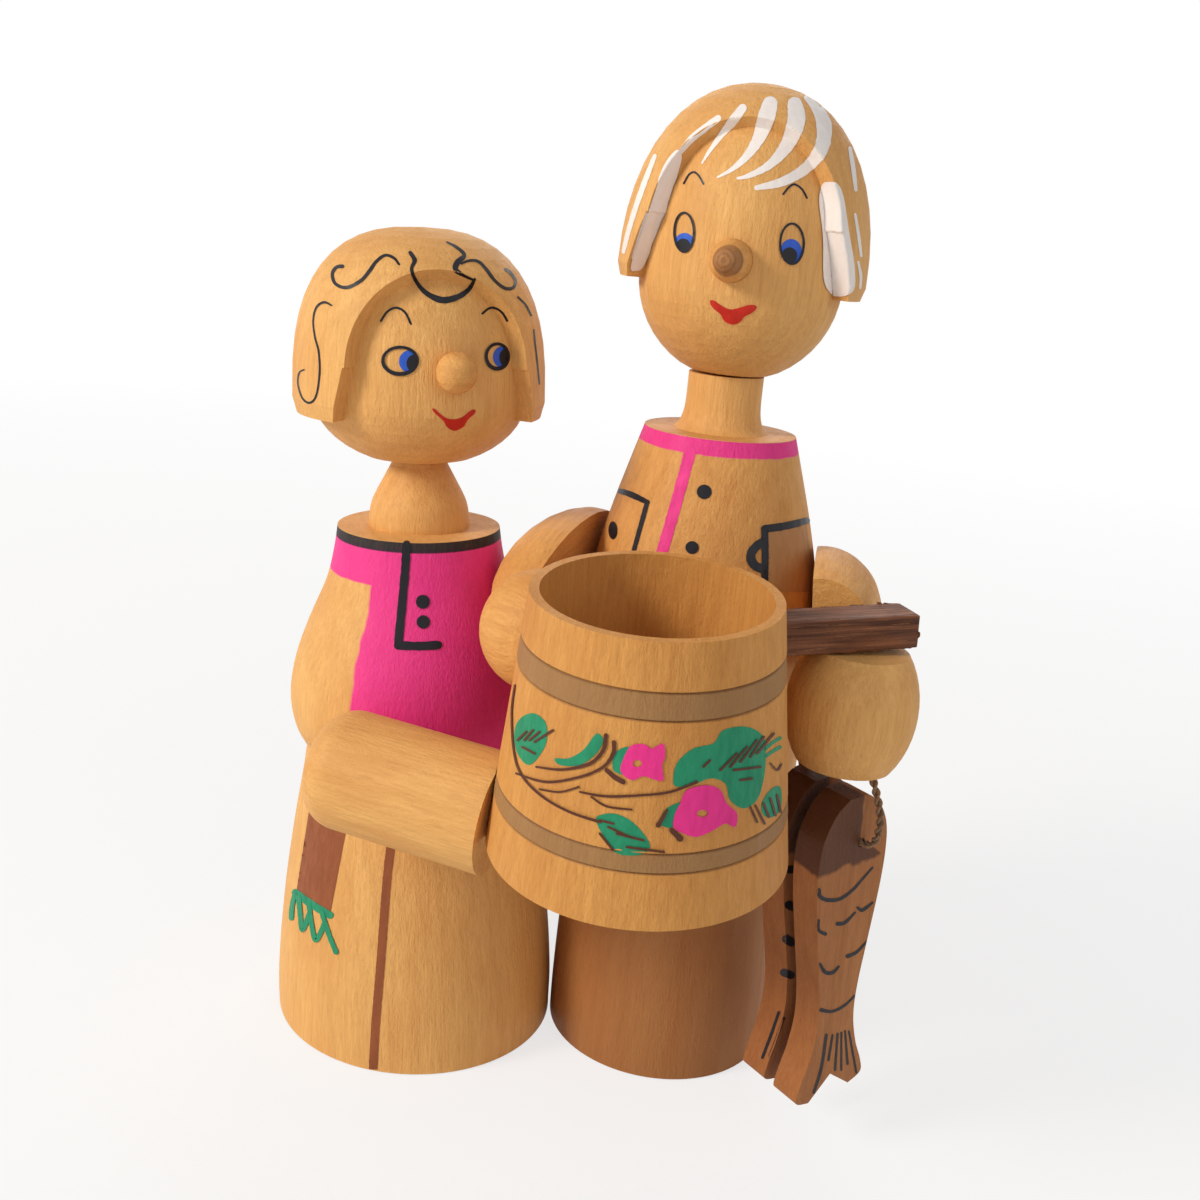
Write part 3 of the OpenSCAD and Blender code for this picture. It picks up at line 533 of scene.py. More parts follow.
# How far apart the points inside a patch are, in pixels
EYE_STEP, MOUTH_STEP, BUTTON_STEP, LEAF_STEP, CLOTH_STEP, LOCK_STEP = 1.6, 1.8, 2, 2.6, 3, 1
surfaces = {}
films = {}


def surface_of(node):
    if node not in surfaces:
        data = nodes[node].data
        data.calc_loop_triangles()
        surfaces[node] = BVHTree.FromPolygons([v.co.copy() for v in data.vertices],
                                              [tuple(t.vertices) for t in data.loop_triangles])
    return surfaces[node]


def land(node, px, py, layer):
    """The spot of a piece that the camera sees at a pixel, lifted out and towards the camera."""
    ray = photo_ray(px, py)
    spot, normal, _, _ = surface_of(node).ray_cast(CAMERA_AT, ray)
    if spot is None:
        return None
    if normal.dot(ray) > 0:
        normal = -normal
    return spot + (normal - ray).normalized() * LIFT * layer


def lay(node, material, points, faces, layer):
    verts, all_faces, _ = films.setdefault((node, material.name), ([], [], material))
    found = [land(node, x, y, layer) for x, y in points]
    where = {}
    for i, v in enumerate(found):
        if v is not None:
            where[i] = len(verts)
            verts.append(v)
    for f in faces:
        if all(i in where for i in f):
            all_faces.append(tuple(where[i] for i in f))


def round_end(end, before):
    """Points past a stroke's end, where its width closes like a half circle."""
    out = (end.xy - before.xy).normalized()
    half = end.z / 2
    count = max(2, int(half / STROKE_STEP) + 1)
    turns = [math.pi / 2 * k / count for k in range(1, count + 1)]
    return [Vector((*(end.xy + out * half * math.sin(a)), end.z * max(LEAST_END, math.cos(a))))
            for a in turns]


def stroke(node, material, points, width=3, layer=UNDER):
    """A brush stroke with round ends through points (x, y), or (x, y, width) where it varies."""
    pts = [Vector((p[0], p[1], p[2] if len(p) > 2 else width)) for p in points]
    if len(pts) > 2:
        line = smooth_line(pts, CURVE_STEPS)
    else:
        line = [pts[0].lerp(pts[-1], k / CURVE_STEPS) for k in range(CURVE_STEPS + 1)]
    even = evenly(line, STROKE_STEP, lambda a, b: (b.xy - a.xy).length) + [line[-1]]
    path = round_end(even[0], even[1])[::-1] + even + round_end(even[-1], even[-2])
    across = max(1, math.ceil(max(p.z for p in path) / STROKE_ROW))
    seed = points[0][0] * WOBBLE_SEED
    rows = []
    for i, p in enumerate(path):
        a, b = path[max(i - 1, 0)].xy, path[min(i + 1, len(path) - 1)].xy
        along = (b - a).normalized() if (b - a).length > 1e-6 else Vector((1, 0))
        side = Vector((-along.y, along.x))
        wobble = 1 + STROKE_WOBBLE * noise.noise(Vector((i * WOBBLE_PACE, seed, 0)))
        rows.append([p.xy + side * p.z * wobble * (k / across - 0.5) for k in range(across + 1)])
    w = across + 1
    faces = [(i * w + k, i * w + k + 1, (i + 1) * w + k + 1, (i + 1) * w + k)
             for i in range(len(rows) - 1) for k in range(across)]
    lay(node, material, [tuple(q) for r in rows for q in r], faces, layer)


def closed_line(outline, curve):
    """A closed outline with curve points to each stretch, or with straight sides where it is 1."""
    pts = [Vector(p) for p in outline]
    count = len(pts)
    if curve > 1:
        return [catmull(pts[i - 1], pts[i], pts[(i + 1) % count], pts[(i + 2) % count], k / curve)
                for i in range(count) for k in range(curve)]
    line = []
    for a, b in zip(pts, pts[1:] + pts[:1]):
        parts = max(1, int((b - a).length / EDGE_STEP))
        line += [a.lerp(b, k / parts) for k in range(parts)]
    return line


def inside(q, line):
    hit = False
    for a, b in zip(line, line[1:] + line[:1]):
        if (a.y > q.y) != (b.y > q.y) and q.x < (b.x - a.x) * (q.y - a.y) / (b.y - a.y) + a.x:
            hit = not hit
    return hit


def patch(node, material, outline, layer, step, curve, holes=()):
    """A filled area with a closed outline, with points step pixels apart inside it."""
    outer = closed_line(outline, curve)
    inner = [closed_line(h, curve) for h in holes]

    def filled(q):
        return inside(q, outer) and not any(inside(q, h) for h in inner)
    rim, edges = [], []
    for line in [outer] + inner:
        first = len(rim)
        rim += line
        edges += [(first + i, first + (i + 1) % len(line)) for i in range(len(line))]
    fill = []
    left, right = min(p.x for p in outer), max(p.x for p in outer)
    y, bottom = min(p.y for p in outer) + step / 2, max(p.y for p in outer)
    while y < bottom:
        x = left + step / 2
        while x < right:
            q = Vector((x, y))
            if min((q - p).length for p in rim) > step * FILL_CLEAR_SHARE and filled(q):
                fill.append(q)
            x += step
        y += step
    verts, _, faces, _, _, _ = delaunay_2d_cdt([p.to_2d() for p in rim + fill], edges, [], 0, 1e-6)
    kept = [tuple(f) for f in faces
            if filled(sum((verts[i] for i in f), Vector((0, 0))) / len(f))]
    lay(node, material, [tuple(v) for v in verts], kept, layer)


def oval(cx, cy, rx, ry, count=28):
    return [(cx + rx * math.cos(t), cy + ry * math.sin(t))
            for t in (2 * math.pi * k / count for k in range(count))]


def clip_to(outline, area):
    """The part of an outline that lies in an oval area (cx, cy, rx, ry)."""
    cx, cy, rx, ry = area
    out = []
    for x, y in outline:
        d = math.hypot((x - cx) / rx, (y - cy) / ry)
        out.append((x, y) if d <= 1 else (cx + (x - cx) / d, cy + (y - cy) / d))
    return out


def paint_eye(node, eye, iris, pupil, line, inset, heavier=0.0):
    """An eye, each of its ovals as (cx, cy, rx, ry). Its outline gets heavier towards the foot."""
    cx, cy, rx, ry = eye
    patch(node, blue_paint, clip_to(oval(*iris), eye), UNDER, EYE_STEP, STRAIGHT)
    patch(node, black_paint, clip_to(oval(*pupil), eye), OVER, EYE_STEP, STRAIGHT)
    ring = oval(cx, cy, rx - inset, ry - inset)
    stroke(node, black_paint, [(x, y, line + heavier * max(0, (y - cy) / ry))
                               for x, y in ring + ring[:2]], layer=TOP)


# The girl's face and curls
GIRL_LEFT_EYE, GIRL_RIGHT_EYE = (400.2, 360.6, 18.4, 14.6), (497, 356.3, 12.2, 13.6)
GIRL_LEFT_IRIS, GIRL_RIGHT_IRIS = (410.5, 361.5, 11.5, 11.5), (501.5, 357, 8.6, 10.5)
GIRL_LEFT_PUPIL, GIRL_RIGHT_PUPIL = (414.2, 363.4, 7.6, 8.8), (505.2, 357.6, 6.0, 8.8)
GIRL_BROWS = [[(381, 321), (387.5, 311.6), (396.4, 307.8), (405, 312.4), (410.8, 323.8)],
              [(482.4, 313.6), (488.7, 308.6), (495, 308), (502, 312.4), (507.2, 320.7)]]
GIRL_MOUTH = [(432.4, 408.4), (436, 409.6), (440, 413.6), (447, 418.2), (454.6, 419.2), (462, 417),
              (468.5, 412), (472.6, 409.4), (475.6, 410.4), (474.4, 414), (469.5, 418),
              (466.4, 422), (463.4, 426.8), (454.6, 430.8), (447, 427), (443.6, 421),
              (437.2, 415.4), (433.2, 411.4)]
GIRL_CURLS = [
    [(410.3, 252.9, 4), (414.6, 260.5, 4.4), (411.6, 269.4, 3.4), (416.6, 282, 3.8),
     (426.7, 293.4, 5), (441.9, 300, 6.6), (457.1, 297.2, 6), (468.5, 289.6, 4.6),
     (474.6, 279.4, 3)],
    [(447, 242.3, 2), (457.1, 247.8, 3.2), (464.2, 255.4, 4.2), (457.4, 262.4, 6.2),
     (455.6, 269.4, 5.2), (462.8, 275, 3.2), (474, 280.2, 2.2)],
    [(461.2, 263.6, 2.2), (469.8, 260.6, 2.6), (478.6, 261.8, 3), (486.2, 269.4, 3.4),
     (495.1, 281, 3.2), (505.2, 288.4, 3.4), (513.2, 287.6, 3.2), (515.3, 281, 3),
     (510.6, 273.2, 3.2), (505.6, 269.4, 3)],
    [(398.9, 264.3, 2.4), (393.8, 258, 2.8), (385, 255.4, 3), (376.1, 261.8, 3.4),
     (369.8, 270.6, 3.6), (360.9, 280.7, 3.6), (347, 287.6, 3.6), (335.8, 284, 3.4),
     (332.4, 274.4, 3.4), (336.4, 267.4, 3.6), (342.6, 266.4, 3.8)],
    [(331.8, 305.5, 1.6), (324.2, 302.3, 2.4), (316.6, 307.3, 2.2), (313.3, 320, 1.8),
     (314.9, 336.4, 1.8), (318.7, 351.6, 2), (319.7, 371.9, 1.9), (316.6, 394.6, 2),
     (310.3, 402.7, 2.2), (302.7, 398.4, 1.8), (298.1, 384.5, 1.6), (299.2, 373.1, 1.6),
     (304, 369.8, 1.6)],
    [(517.9, 297.2, 2), (525.4, 304.8, 2.2), (531, 315.6, 2)],
    [(533.6, 330, 1.6), (535.4, 346.6, 1.8), (537.6, 366, 1.6), (539.4, 384, 1.6)],
]
GIRL_EYE_LINE, GIRL_EYE_INSET, GIRL_EYE_HEAVIER, GIRL_BROW_LINE = 3.0, 1.2, 1.2, 2.3
for eye, iris, pupil in ((GIRL_LEFT_EYE, GIRL_LEFT_IRIS, GIRL_LEFT_PUPIL),
                         (GIRL_RIGHT_EYE, GIRL_RIGHT_IRIS, GIRL_RIGHT_PUPIL)):
    paint_eye("girl_head", eye, iris, pupil, GIRL_EYE_LINE, GIRL_EYE_INSET, GIRL_EYE_HEAVIER)
for brow in GIRL_BROWS:
    stroke("girl_head", black_paint, brow, GIRL_BROW_LINE)
patch("girl_head", red_paint, GIRL_MOUTH, UNDER, MOUTH_STEP, CURVED)
for curl in GIRL_CURLS:
    stroke("girl_head", black_paint, curl)

# The girl's blouse and skirt
GIRL_PLACKET = [[(406.6, 545), (405.2, 570), (401.6, 610), (398.2, 645)],
                [(398.2, 645.4), (420, 646), (438, 645)]]
GIRL_BUTTONS = [(422.9, 601.8, 7, 7), (423.3, 622, 6.7, 6.7)]
SKIRT_STRIPE = [(392, 838), (387, 880), (381, 960), (376, 1020), (373.2, 1068)]
SKIRT_RIBBON = [(311, 798), (348.6, 818), (330.4, 913.7), (296.8, 890)]
RIBBON_FRINGE = [[(295.8, 892.5), (313, 905), (330, 915)],
                 [(295.2, 894), (292.4, 907), (291.8, 918)],
                 [(299, 897), (300.7, 915), (302.9, 930), (309.4, 914)],
                 [(309.4, 905), (312, 925), (316.5, 940), (325.2, 922)],
                 [(322, 912), (329, 934), (336.3, 952)]]
GIRL_PLACKET_LINE, STRIPE_LINE, FRINGE_EDGE_LINE, FRINGE_LINE = 8.4, 8.8, 7.5, 4.8
for line in GIRL_PLACKET:
    stroke("girl_body", black_paint, line, GIRL_PLACKET_LINE, OVER)
for spot in GIRL_BUTTONS:
    patch("girl_body", black_paint, oval(*spot), OVER, BUTTON_STEP, STRAIGHT)
stroke("girl_body", ribbon_paint, SKIRT_STRIPE, STRIPE_LINE)
patch("girl_body", ribbon_paint, SKIRT_RIBBON, UNDER, CLOTH_STEP, STRAIGHT)
stroke("girl_body", green_paint, RIBBON_FRINGE[0], FRINGE_EDGE_LINE, OVER)
for line in RIBBON_FRINGE[1:]:
    stroke("girl_body", green_paint, line, FRINGE_LINE, TOP)

# The boy's face and hair
BOY_LEFT_EYE, BOY_RIGHT_EYE = (684.4, 232.3, 10.6, 20.4), (791.8, 243.8, 12.6, 21)
BOY_LEFT_IRIS, BOY_RIGHT_IRIS = (684.6, 242.5, 9.6, 9.6), (791, 251, 10.6, 12)
BOY_LEFT_PUPIL, BOY_RIGHT_PUPIL = (683.4, 245.6, 7, 7), (789.4, 255.4, 7.6, 8)
BOY_BROWS = [[(683.9, 183.5), (689.1, 174.6), (694.3, 172.2), (699.2, 176.3), (703.5, 184)],
             [(783.1, 194.2), (788.9, 187.2), (794.7, 184.4), (801.9, 189.3), (806.8, 198)]]
BOY_MOUTH = [(710.4, 300.4), (714.8, 300.8), (720.9, 305), (729.6, 309.2), (738.3, 308),
             (748.4, 305), (754.6, 305), (756.6, 307.6), (752.7, 312.4), (744.6, 316.6),
             (739.7, 322.4), (732.5, 324.6), (724.4, 321.2), (720.6, 314.4), (714.4, 309.4),
             (710.6, 304.6)]
BOY_FRINGE = [
    [(718, 118.4, 6.5), (706.4, 127, 7), (692, 138.6, 6.5), (680.4, 152, 5), (670, 166, 3.4)],
    [(742.6, 108.3, 8.6), (732.5, 121.3, 9.4), (720.9, 135.7, 6), (709.3, 151.7, 3.6),
     (702.1, 163.2, 1.6)],
    [(770.1, 104, 15), (765.7, 119, 17), (758.5, 138.6, 12.4), (746.9, 156, 8), (732.5, 169, 4.6),
     (717.6, 177.4, 1.8)],
    [(794.7, 104.6, 15), (796.1, 121.3, 18), (787.4, 144.4, 14), (770.1, 164.4, 8.6),
     (749.8, 175.4, 5.2), (737.8, 178.3, 2.6)],
    [(806, 98, 5), (816.6, 108, 11), (824, 127, 15), (820.4, 150.2, 14.4), (804.8, 169, 11),
     (781.7, 182, 9), (756.6, 187.8, 5)],
]
BOY_LEFT_LOCK = [(679.4, 149.8), (681.4, 158), (677.5, 173.4), (668.8, 202.3), (655.8, 237),
                 (643.2, 266), (636, 270.4), (630.4, 269), (633.4, 254.4), (643.4, 225.4),
                 (652.2, 199.4), (662.2, 170.5), (671.4, 155.4)]
BOY_RIGHT_LOCK = [(822.6, 184.6), (829, 181.6), (837, 184), (843, 197), (848.4, 231.2),
                  (853.6, 263), (854.2, 286), (847.4, 295), (836, 296), (828.8, 292), (823, 277),
                  (822.4, 237), (818.6, 200)]
BOY_SIDE_HAIR = [
    [(655, 156, 4), (645.6, 180, 5.4), (636.4, 206, 5.4), (628.4, 232, 5), (623.6, 252, 3.6)],
    [(647, 214, 3.4), (639.4, 238, 4.4), (633, 258, 3.4)],
    [(849.6, 148, 3.6), (853, 168, 4.6), (855.6, 190, 3.4)],
    [(855, 214, 2.4), (858.4, 236, 3.4), (861, 256, 2.6)],
    [(858, 262, 2.4), (860.6, 276, 3), (860, 288, 2.2)],
]
BOY_EYE_LINE, BOY_EYE_INSET, BOY_BROW_LINE = 2.3, 0.9, 2.0
for eye, iris, pupil in ((BOY_LEFT_EYE, BOY_LEFT_IRIS, BOY_LEFT_PUPIL),
                         (BOY_RIGHT_EYE, BOY_RIGHT_IRIS, BOY_RIGHT_PUPIL)):
    paint_eye("boy_head", eye, iris, pupil, BOY_EYE_LINE, BOY_EYE_INSET)
for brow in BOY_BROWS:
    stroke("boy_head", black_paint, brow, BOY_BROW_LINE)
patch("boy_head", red_paint, BOY_MOUTH, UNDER, MOUTH_STEP, CURVED)
for hair in BOY_FRINGE + BOY_SIDE_HAIR:
    stroke("boy_head", white_paint, hair)
for lock in (BOY_LEFT_LOCK, BOY_RIGHT_LOCK):
    patch("boy_head", white_paint, lock, TOP, LOCK_STEP, CURVED)

# The boy's shirt
BOY_PLACKET = [(690, 452), (682.6, 480), (672, 518), (660, 560)]
BOY_BUTTONS = [(704.2, 491.8, 7.4, 7.2), (692.1, 547.5, 6.6, 6.4)]
LEFT_POCKET = [[(619.5, 491, 5), (630.3, 494.2, 6), (647.4, 502.1, 5)],
               [(647.2, 502.5, 4.6), (641, 525, 4.6), (633.7, 551, 4.2)]]
LEFT_POCKET_BUTTON = (613.2, 530.3, 4.4, 9)
RIGHT_POCKET = [[(764.8, 528.8, 7.6), (785, 526, 7.6), (806.4, 520.7, 6.4)],
                [(764.6, 530, 7), (765, 555, 7), (764.4, 592, 7)]]
RIGHT_POCKET_FILL = [(767, 532), (806, 525.2), (812, 558), (811, 592), (767.8, 592)]
POCKET_LOOP = [(764, 541.6), (757.4, 545.4), (751.8, 552), (751, 559.4), (755.4, 566), (763, 568.6)]
BOY_PLACKET_LINE, POCKET_LOOP_LINE = 11.6, 9
stroke("boy_body", pink_paint, BOY_PLACKET, BOY_PLACKET_LINE)
for spot in BOY_BUTTONS + [LEFT_POCKET_BUTTON]:
    patch("boy_body", black_paint, oval(*spot), OVER, BUTTON_STEP, STRAIGHT)
patch("boy_body", pocket_paint, RIGHT_POCKET_FILL, UNDER, CLOTH_STEP, STRAIGHT)
for line in LEFT_POCKET + RIGHT_POCKET:
    stroke("boy_body", black_paint, line, layer=OVER)
stroke("boy_body", black_paint, POCKET_LOOP, POCKET_LOOP_LINE, OVER)

# The barrel's vine
VINE_LEAVES = [
    [(530, 713.3), (540, 716), (547, 726.7), (545, 746.7), (530, 765), (517.5, 753.3),
     (514.5, 733.3), (519, 720)],
    [(598.3, 733.3), (603.3, 740), (596.7, 753.3), (580, 765), (560, 765), (555, 758.3),
     (568.3, 758.3), (583.3, 750), (593.3, 736.7)],
    [(615, 753.3), (627, 746.7), (631, 752), (626.7, 773.3), (613.3, 770)],
    [(673.3, 783.3), (676.7, 763.3), (693.3, 748.3), (713.3, 743.3), (723.3, 730), (746.7, 726.7),
     (763.3, 736.7), (765.6, 756.7), (763.3, 780), (756.7, 800), (743.3, 808.3), (730, 800),
     (725, 783.3), (710, 778.3), (693.3, 785), (680, 786.7)],
    [(660, 823.3), (666.7, 808), (686.7, 801.7), (681, 816.7), (671.7, 827.5)],
    [(596.7, 816.7), (613.3, 813.3), (630, 820), (643.3, 833.3), (650, 846.7), (640, 855),
     (616.7, 853.3), (606.7, 840), (598.3, 826.7)],
    [(761.7, 803.3), (770, 790), (780, 786.7), (781, 806.7), (773.3, 816.7), (763.3, 815)],
]
VINE_STEMS = [
    [(515.4, 685, 1.6), (512.2, 713, 1.8), (514.6, 753, 2), (523.3, 776.7, 2.4),
     (543.3, 796.7, 2.6), (570, 811.7, 2.6), (600, 821.7, 3)],
    [(536.7, 766.7, 2), (563.3, 769.3, 2.6), (590, 763.3, 3.4), (603.3, 750, 4), (606, 735, 4)],
    [(516.7, 773.3, 2), (546.7, 781.7, 2.6), (580, 776.7, 2.6), (603.3, 766.7, 3),
     (613.3, 753.3, 4), (614, 742, 4)],
    [(580, 791.7, 2), (606.7, 796, 2.6), (640, 795, 2.4), (670, 791.7, 2.6), (696.7, 781.7, 3)],
    [(540, 789, 2), (560, 791.7, 2), (579, 786.7, 2)],
    [(591.7, 796.7, 2), (606.7, 806, 2.2), (631.7, 809.3, 2)],
    [(606.7, 770, 4), (615, 777, 5), (623.3, 781.7, 5)],
    [(658.3, 825, 5), (666.7, 810, 3)],
    [(671.7, 830, 5), (680, 838.3, 6.4)],
    [(770, 763.3, 1.8), (776.7, 770, 2), (781, 764, 1.8)],
    [(750, 806.7, 2), (756.7, 821.7, 2.4)], [(755, 805, 1.8), (764, 823.3, 2.6)],
]
LEAF_LINES = [
    [(518.3, 740), (526.7, 731.7)], [(525, 740), (533.3, 730)], [(530, 740), (540, 731.7)],
    [(535, 741.7), (553.3, 730)], [(523, 747), (535, 753.3)],
    [(720, 770), (736.7, 753.3)], [(730, 766.7), (746.7, 746.7)], [(740, 761.7), (756.7, 740)],
    [(750, 756.7), (763.3, 736.7)], [(756.7, 753.3), (773.3, 733.3)], [(703.3, 766.7), (710, 760)],
    [(733.3, 770), (760, 766.7)], [(740, 780), (751.7, 778.3)],
    [(600, 820), (613.3, 823.3)], [(608.3, 826.7), (630, 836.7)], [(600, 833.3), (613.3, 850)],
    [(616.7, 833.3), (643.3, 840)], [(626.7, 846.7), (664, 851.7)],
    [(763.3, 803.3), (768.3, 816.7)], [(770, 798.3), (775, 815)], [(776.7, 795), (780, 811.7)],
]
GREEN_DASHES = [[(765, 749), (772, 743), (780, 738)], [(766, 756), (773, 751), (780, 747)]]
FLOWERS = [
    [(630, 746.7), (638, 743.6), (646.7, 745), (652, 748.5), (663.3, 743.3), (665, 756.7),
     (662, 765), (663.3, 780), (653.3, 779), (643.3, 776), (631.7, 780), (620.6, 771), (624, 757)],
    [(680, 803.3), (686.7, 790), (706.7, 785), (720, 790), (726.7, 803.3), (736.7, 813.3),
     (735, 826.7), (725, 823.3), (713.3, 830), (696.7, 836.7), (683.3, 833.3), (673.3, 826.7),
     (675, 813.3)],
]
FLOWER_HEARTS = [(637.4, 763.3, 4.4, 3.6), (702, 813.3, 5.4, 3.6)]
GREEN_DASH_LINE, LEAF_LINE, HEART_SIDES = 3.4, 2.4, 12
for leaf in VINE_LEAVES:
    patch("barrel", green_paint, leaf, UNDER, LEAF_STEP, CURVED)
for dash in GREEN_DASHES:
    stroke("barrel", green_paint, dash, GREEN_DASH_LINE)
for petals, heart in zip(FLOWERS, FLOWER_HEARTS):
    patch("barrel", pink_paint, petals, OVER, LEAF_STEP, CURVED, [oval(*heart, HEART_SIDES)])
for stem in VINE_STEMS:
    stroke("barrel", brown_paint, stem, layer=TOP)
for line in LEAF_LINES:
    stroke("barrel", brown_paint, line, LEAF_LINE, TOP)

# The fishes' scales and tail rays
FRONT_SCALES = [
    [(818.8, 890, 4), (820, 896.3, 4), (827.5, 900, 4), (840, 898.8, 3.4), (852.5, 890, 3),
     (862.5, 878.8, 2.4), (872.5, 867.5, 2)],
    [(837.5, 923.8, 4), (845, 922.5, 3.4), (855, 912.5, 2.2)],
    [(857.5, 907.5, 2.4), (862.5, 910, 3.6), (872.5, 902.5, 2.2)],
    [(818.8, 920, 2), (818.8, 930, 3), (825, 933.8, 4)],
    [(847.5, 956.3, 4), (857.5, 951.3, 3), (868.8, 938.8, 2)],
    [(820, 963.8, 2.6), (825, 972, 4), (832.5, 972.5, 3.6), (838.8, 966.3, 2)],
    [(821.3, 1010, 4), (832.5, 1011.3, 3), (845, 1005, 2.6), (856.3, 993.8, 1.8)],
    [(826.3, 1035, 3), (821.3, 1067.5, 3), (813.8, 1092.5, 2.6)],
    [(832.5, 1035, 2), (828.5, 1060, 2.4)], [(837.5, 1033.8, 2.4), (835, 1070, 2.4)],
    [(841.3, 1032.5, 2), (841.3, 1070, 2)], [(845, 1031, 2), (847.5, 1063.8, 2.4)],
    [(848.8, 1031.3, 2), (856.3, 1072.5, 2.2)],
]
REAR_SCALES = [
    [(789, 869.5, 8), (800, 868.8, 8)], [(789, 905, 9), (794, 907, 9)],
    [(786.5, 939, 9), (791, 942, 9)], [(784, 972.5, 8), (791, 975, 8)],
    [(778.8, 1012.5, 3), (771, 1035, 3), (762.5, 1057.5, 3)], [(784, 1018, 2.4), (770, 1056, 3)],
]
for line in FRONT_SCALES:
    stroke("front_fish", black_paint, line)
for line in REAR_SCALES:
    stroke("rear_fish", black_paint, line)

for (node, kind), (verts, faces, material) in films.items():
    if faces:
        piece = link_mesh(f"{node}_{kind}", verts, faces, material)
        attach(piece, nodes[node]["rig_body"])

# The stick that is the barrel's handle: rough, split and stained
STICK_TURN, STICK_RISE = 18, 4
STICK_LIGHT, STICK_DARK = colour(132, 78, 46), colour(72, 38, 20)
STICK_WORN, STICK_SOILED = colour(168, 112, 72), colour(56, 28, 16)
STICK_FIBRE, STICK_FINE, STICK_SOIL = (45, 1300, 1300), (160, 3600, 3600), (120, 260, 260)
STICK_FINE_DEPTH, STICK_FIBRE_DEPTH = 0.0001, 0.00028
STICK_VOXEL = 0.00030
STICK_CUT, STICK_ROUGH, STICK_CHIP = 0.0001, 0.00018, 0.0006
ROUGH_ALONG, ROUGH_ACROSS = 60, 900
CHIP_ALONG, CHIP_ACROSS, CHIP_SHIFT, CHIP_FROM = 160, 420, 9, 0.15
END_FADE = 1.6


def stick_look():
    s = Shader("stained_stick_look")
    place = s.local(rotation=turned_axis((0, -STICK_RISE, STICK_TURN)))
    fibre = s.noise(place, STICK_FIBRE, 4, 0.65)
    fine = s.noise(place, STICK_FINE, 2, 0.6)
    soil = s.noise(place, STICK_SOIL)
    base = s.mix(s.step(fibre, 0.34, 0.66), STICK_LIGHT, STICK_DARK)
    base = s.mix(s.step(fine, 0.56, 0.72, 0, 0.6), base, STICK_WORN)
    base = s.mix(s.step(soil, 0.5, 0.7, 0, 0.5), base, STICK_SOILED)
    s.set({"Base Color": base, "Roughness": s.step(fibre, 0.3, 0.7, 0.55, 0.8),
           "Specular IOR Level": 0.35,
           "Normal": s.bump(fine, STICK_FINE_DEPTH, 0.6, s.bump(fibre, STICK_FIBRE_DEPTH, 0.7))})
    return s.material


def rough_stick():
    """The plain stick, with a finer mesh whose long sides are cut into and chipped."""
    stick = bpy.data.objects.new("rough_stick", nodes["barrel_handle"].data.copy())
    bpy.context.scene.collection.objects.link(stick)
    remesh = stick.modifiers.new("remesh", "REMESH")
    remesh.mode = "VOXEL"
    remesh.voxel_size = STICK_VOXEL
    bpy.context.view_layer.update()
    graph = bpy.context.evaluated_depsgraph_get()
    mesh = bpy.data.meshes.new_from_object(stick.evaluated_get(graph))
    stick.modifiers.clear()
    stick.data = mesh
    mesh.materials.clear()
    mesh.materials.append(stick_look())
    for p in mesh.polygons:
        p.use_smooth = True
        p.material_index = 0
    rise = math.radians(STICK_RISE)
    along = bearing(STICK_TURN) * math.cos(rise) + Vector((0, 0, math.sin(rise)))
    for v in mesh.vertices:
        run = v.co.dot(along)
        off = v.co - along * run
        rough = noise.noise(Vector((run * ROUGH_ALONG, off.x * ROUGH_ACROSS, off.z * ROUGH_ACROSS)))
        spot = Vector((run * CHIP_ALONG + CHIP_SHIFT, off.x * CHIP_ACROSS, off.z * CHIP_ACROSS))
        chip = max(0, noise.noise(spot) - CHIP_FROM)
        side = max(0, 1 - abs(v.normal.dot(along)) * END_FADE)
        v.co -= v.normal * (STICK_CUT + side * (STICK_ROUGH * (rough + 1) / 2 + STICK_CHIP * chip))
    return stick


stick = rough_stick()
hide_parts("barrel_handle")
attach(stick, "couple")

# The twisted string: two plies wound round the route that the source lays out
STRING_R, STRING_OUT, STRING_DEEP = 0.6 * MM, 2.6 * MM, 2.3 * MM
OUT_SHARES = [(0.54, 0.04), (0.89, 0.14), (1, 0.28)]
IN_SHARES = [(0.96, 0.475), (0.71, 0.67), (0.36, 0.85), (0.04, 1.01)]
STRING_CURVE_STEPS, STRING_STEP = 8, 0.00022
PLIES, PLY_SHARE, PLY_TURN, PLY_SIDES = 2, 0.5, 0.0028, 8
PLY_BULGE, PLY_BULGES = 0.04, 5
STRING_FIBRE, STRING_SOIL, STRING_FIBRE_DEPTH = (3200, 3200, 3200), (300, 300, 300), 0.00012
STRING_LIGHT, STRING_DARK = colour(168, 128, 88), colour(104, 72, 48)
STRING_SOILED = colour(84, 58, 42)


def string_route():
    face = (2 * FISH_T + FISH_GAP) / 2
    rise = FISH_DROP + GILL_DROP
    hole = FIST_FLAT_R - 2 * STRING_R
    far = face + STRING_OUT
    side = [(0, 0), (face / 2, 0), (face, 0)]
    side += [(face + STRING_OUT * s, rise * h) for s, h in OUT_SHARES]
    side += [(hole + (far - hole) * s, rise * h) for s, h in IN_SHARES]
    side += [(hole, rise + STRING_DEEP)]
    pts = [(d, h) for d, h in reversed(side[1:])] + [(-d, h) for d, h in side]
    return [gill_mid + fish_face * d + Vector((0, 0, h)) for d, h in pts]


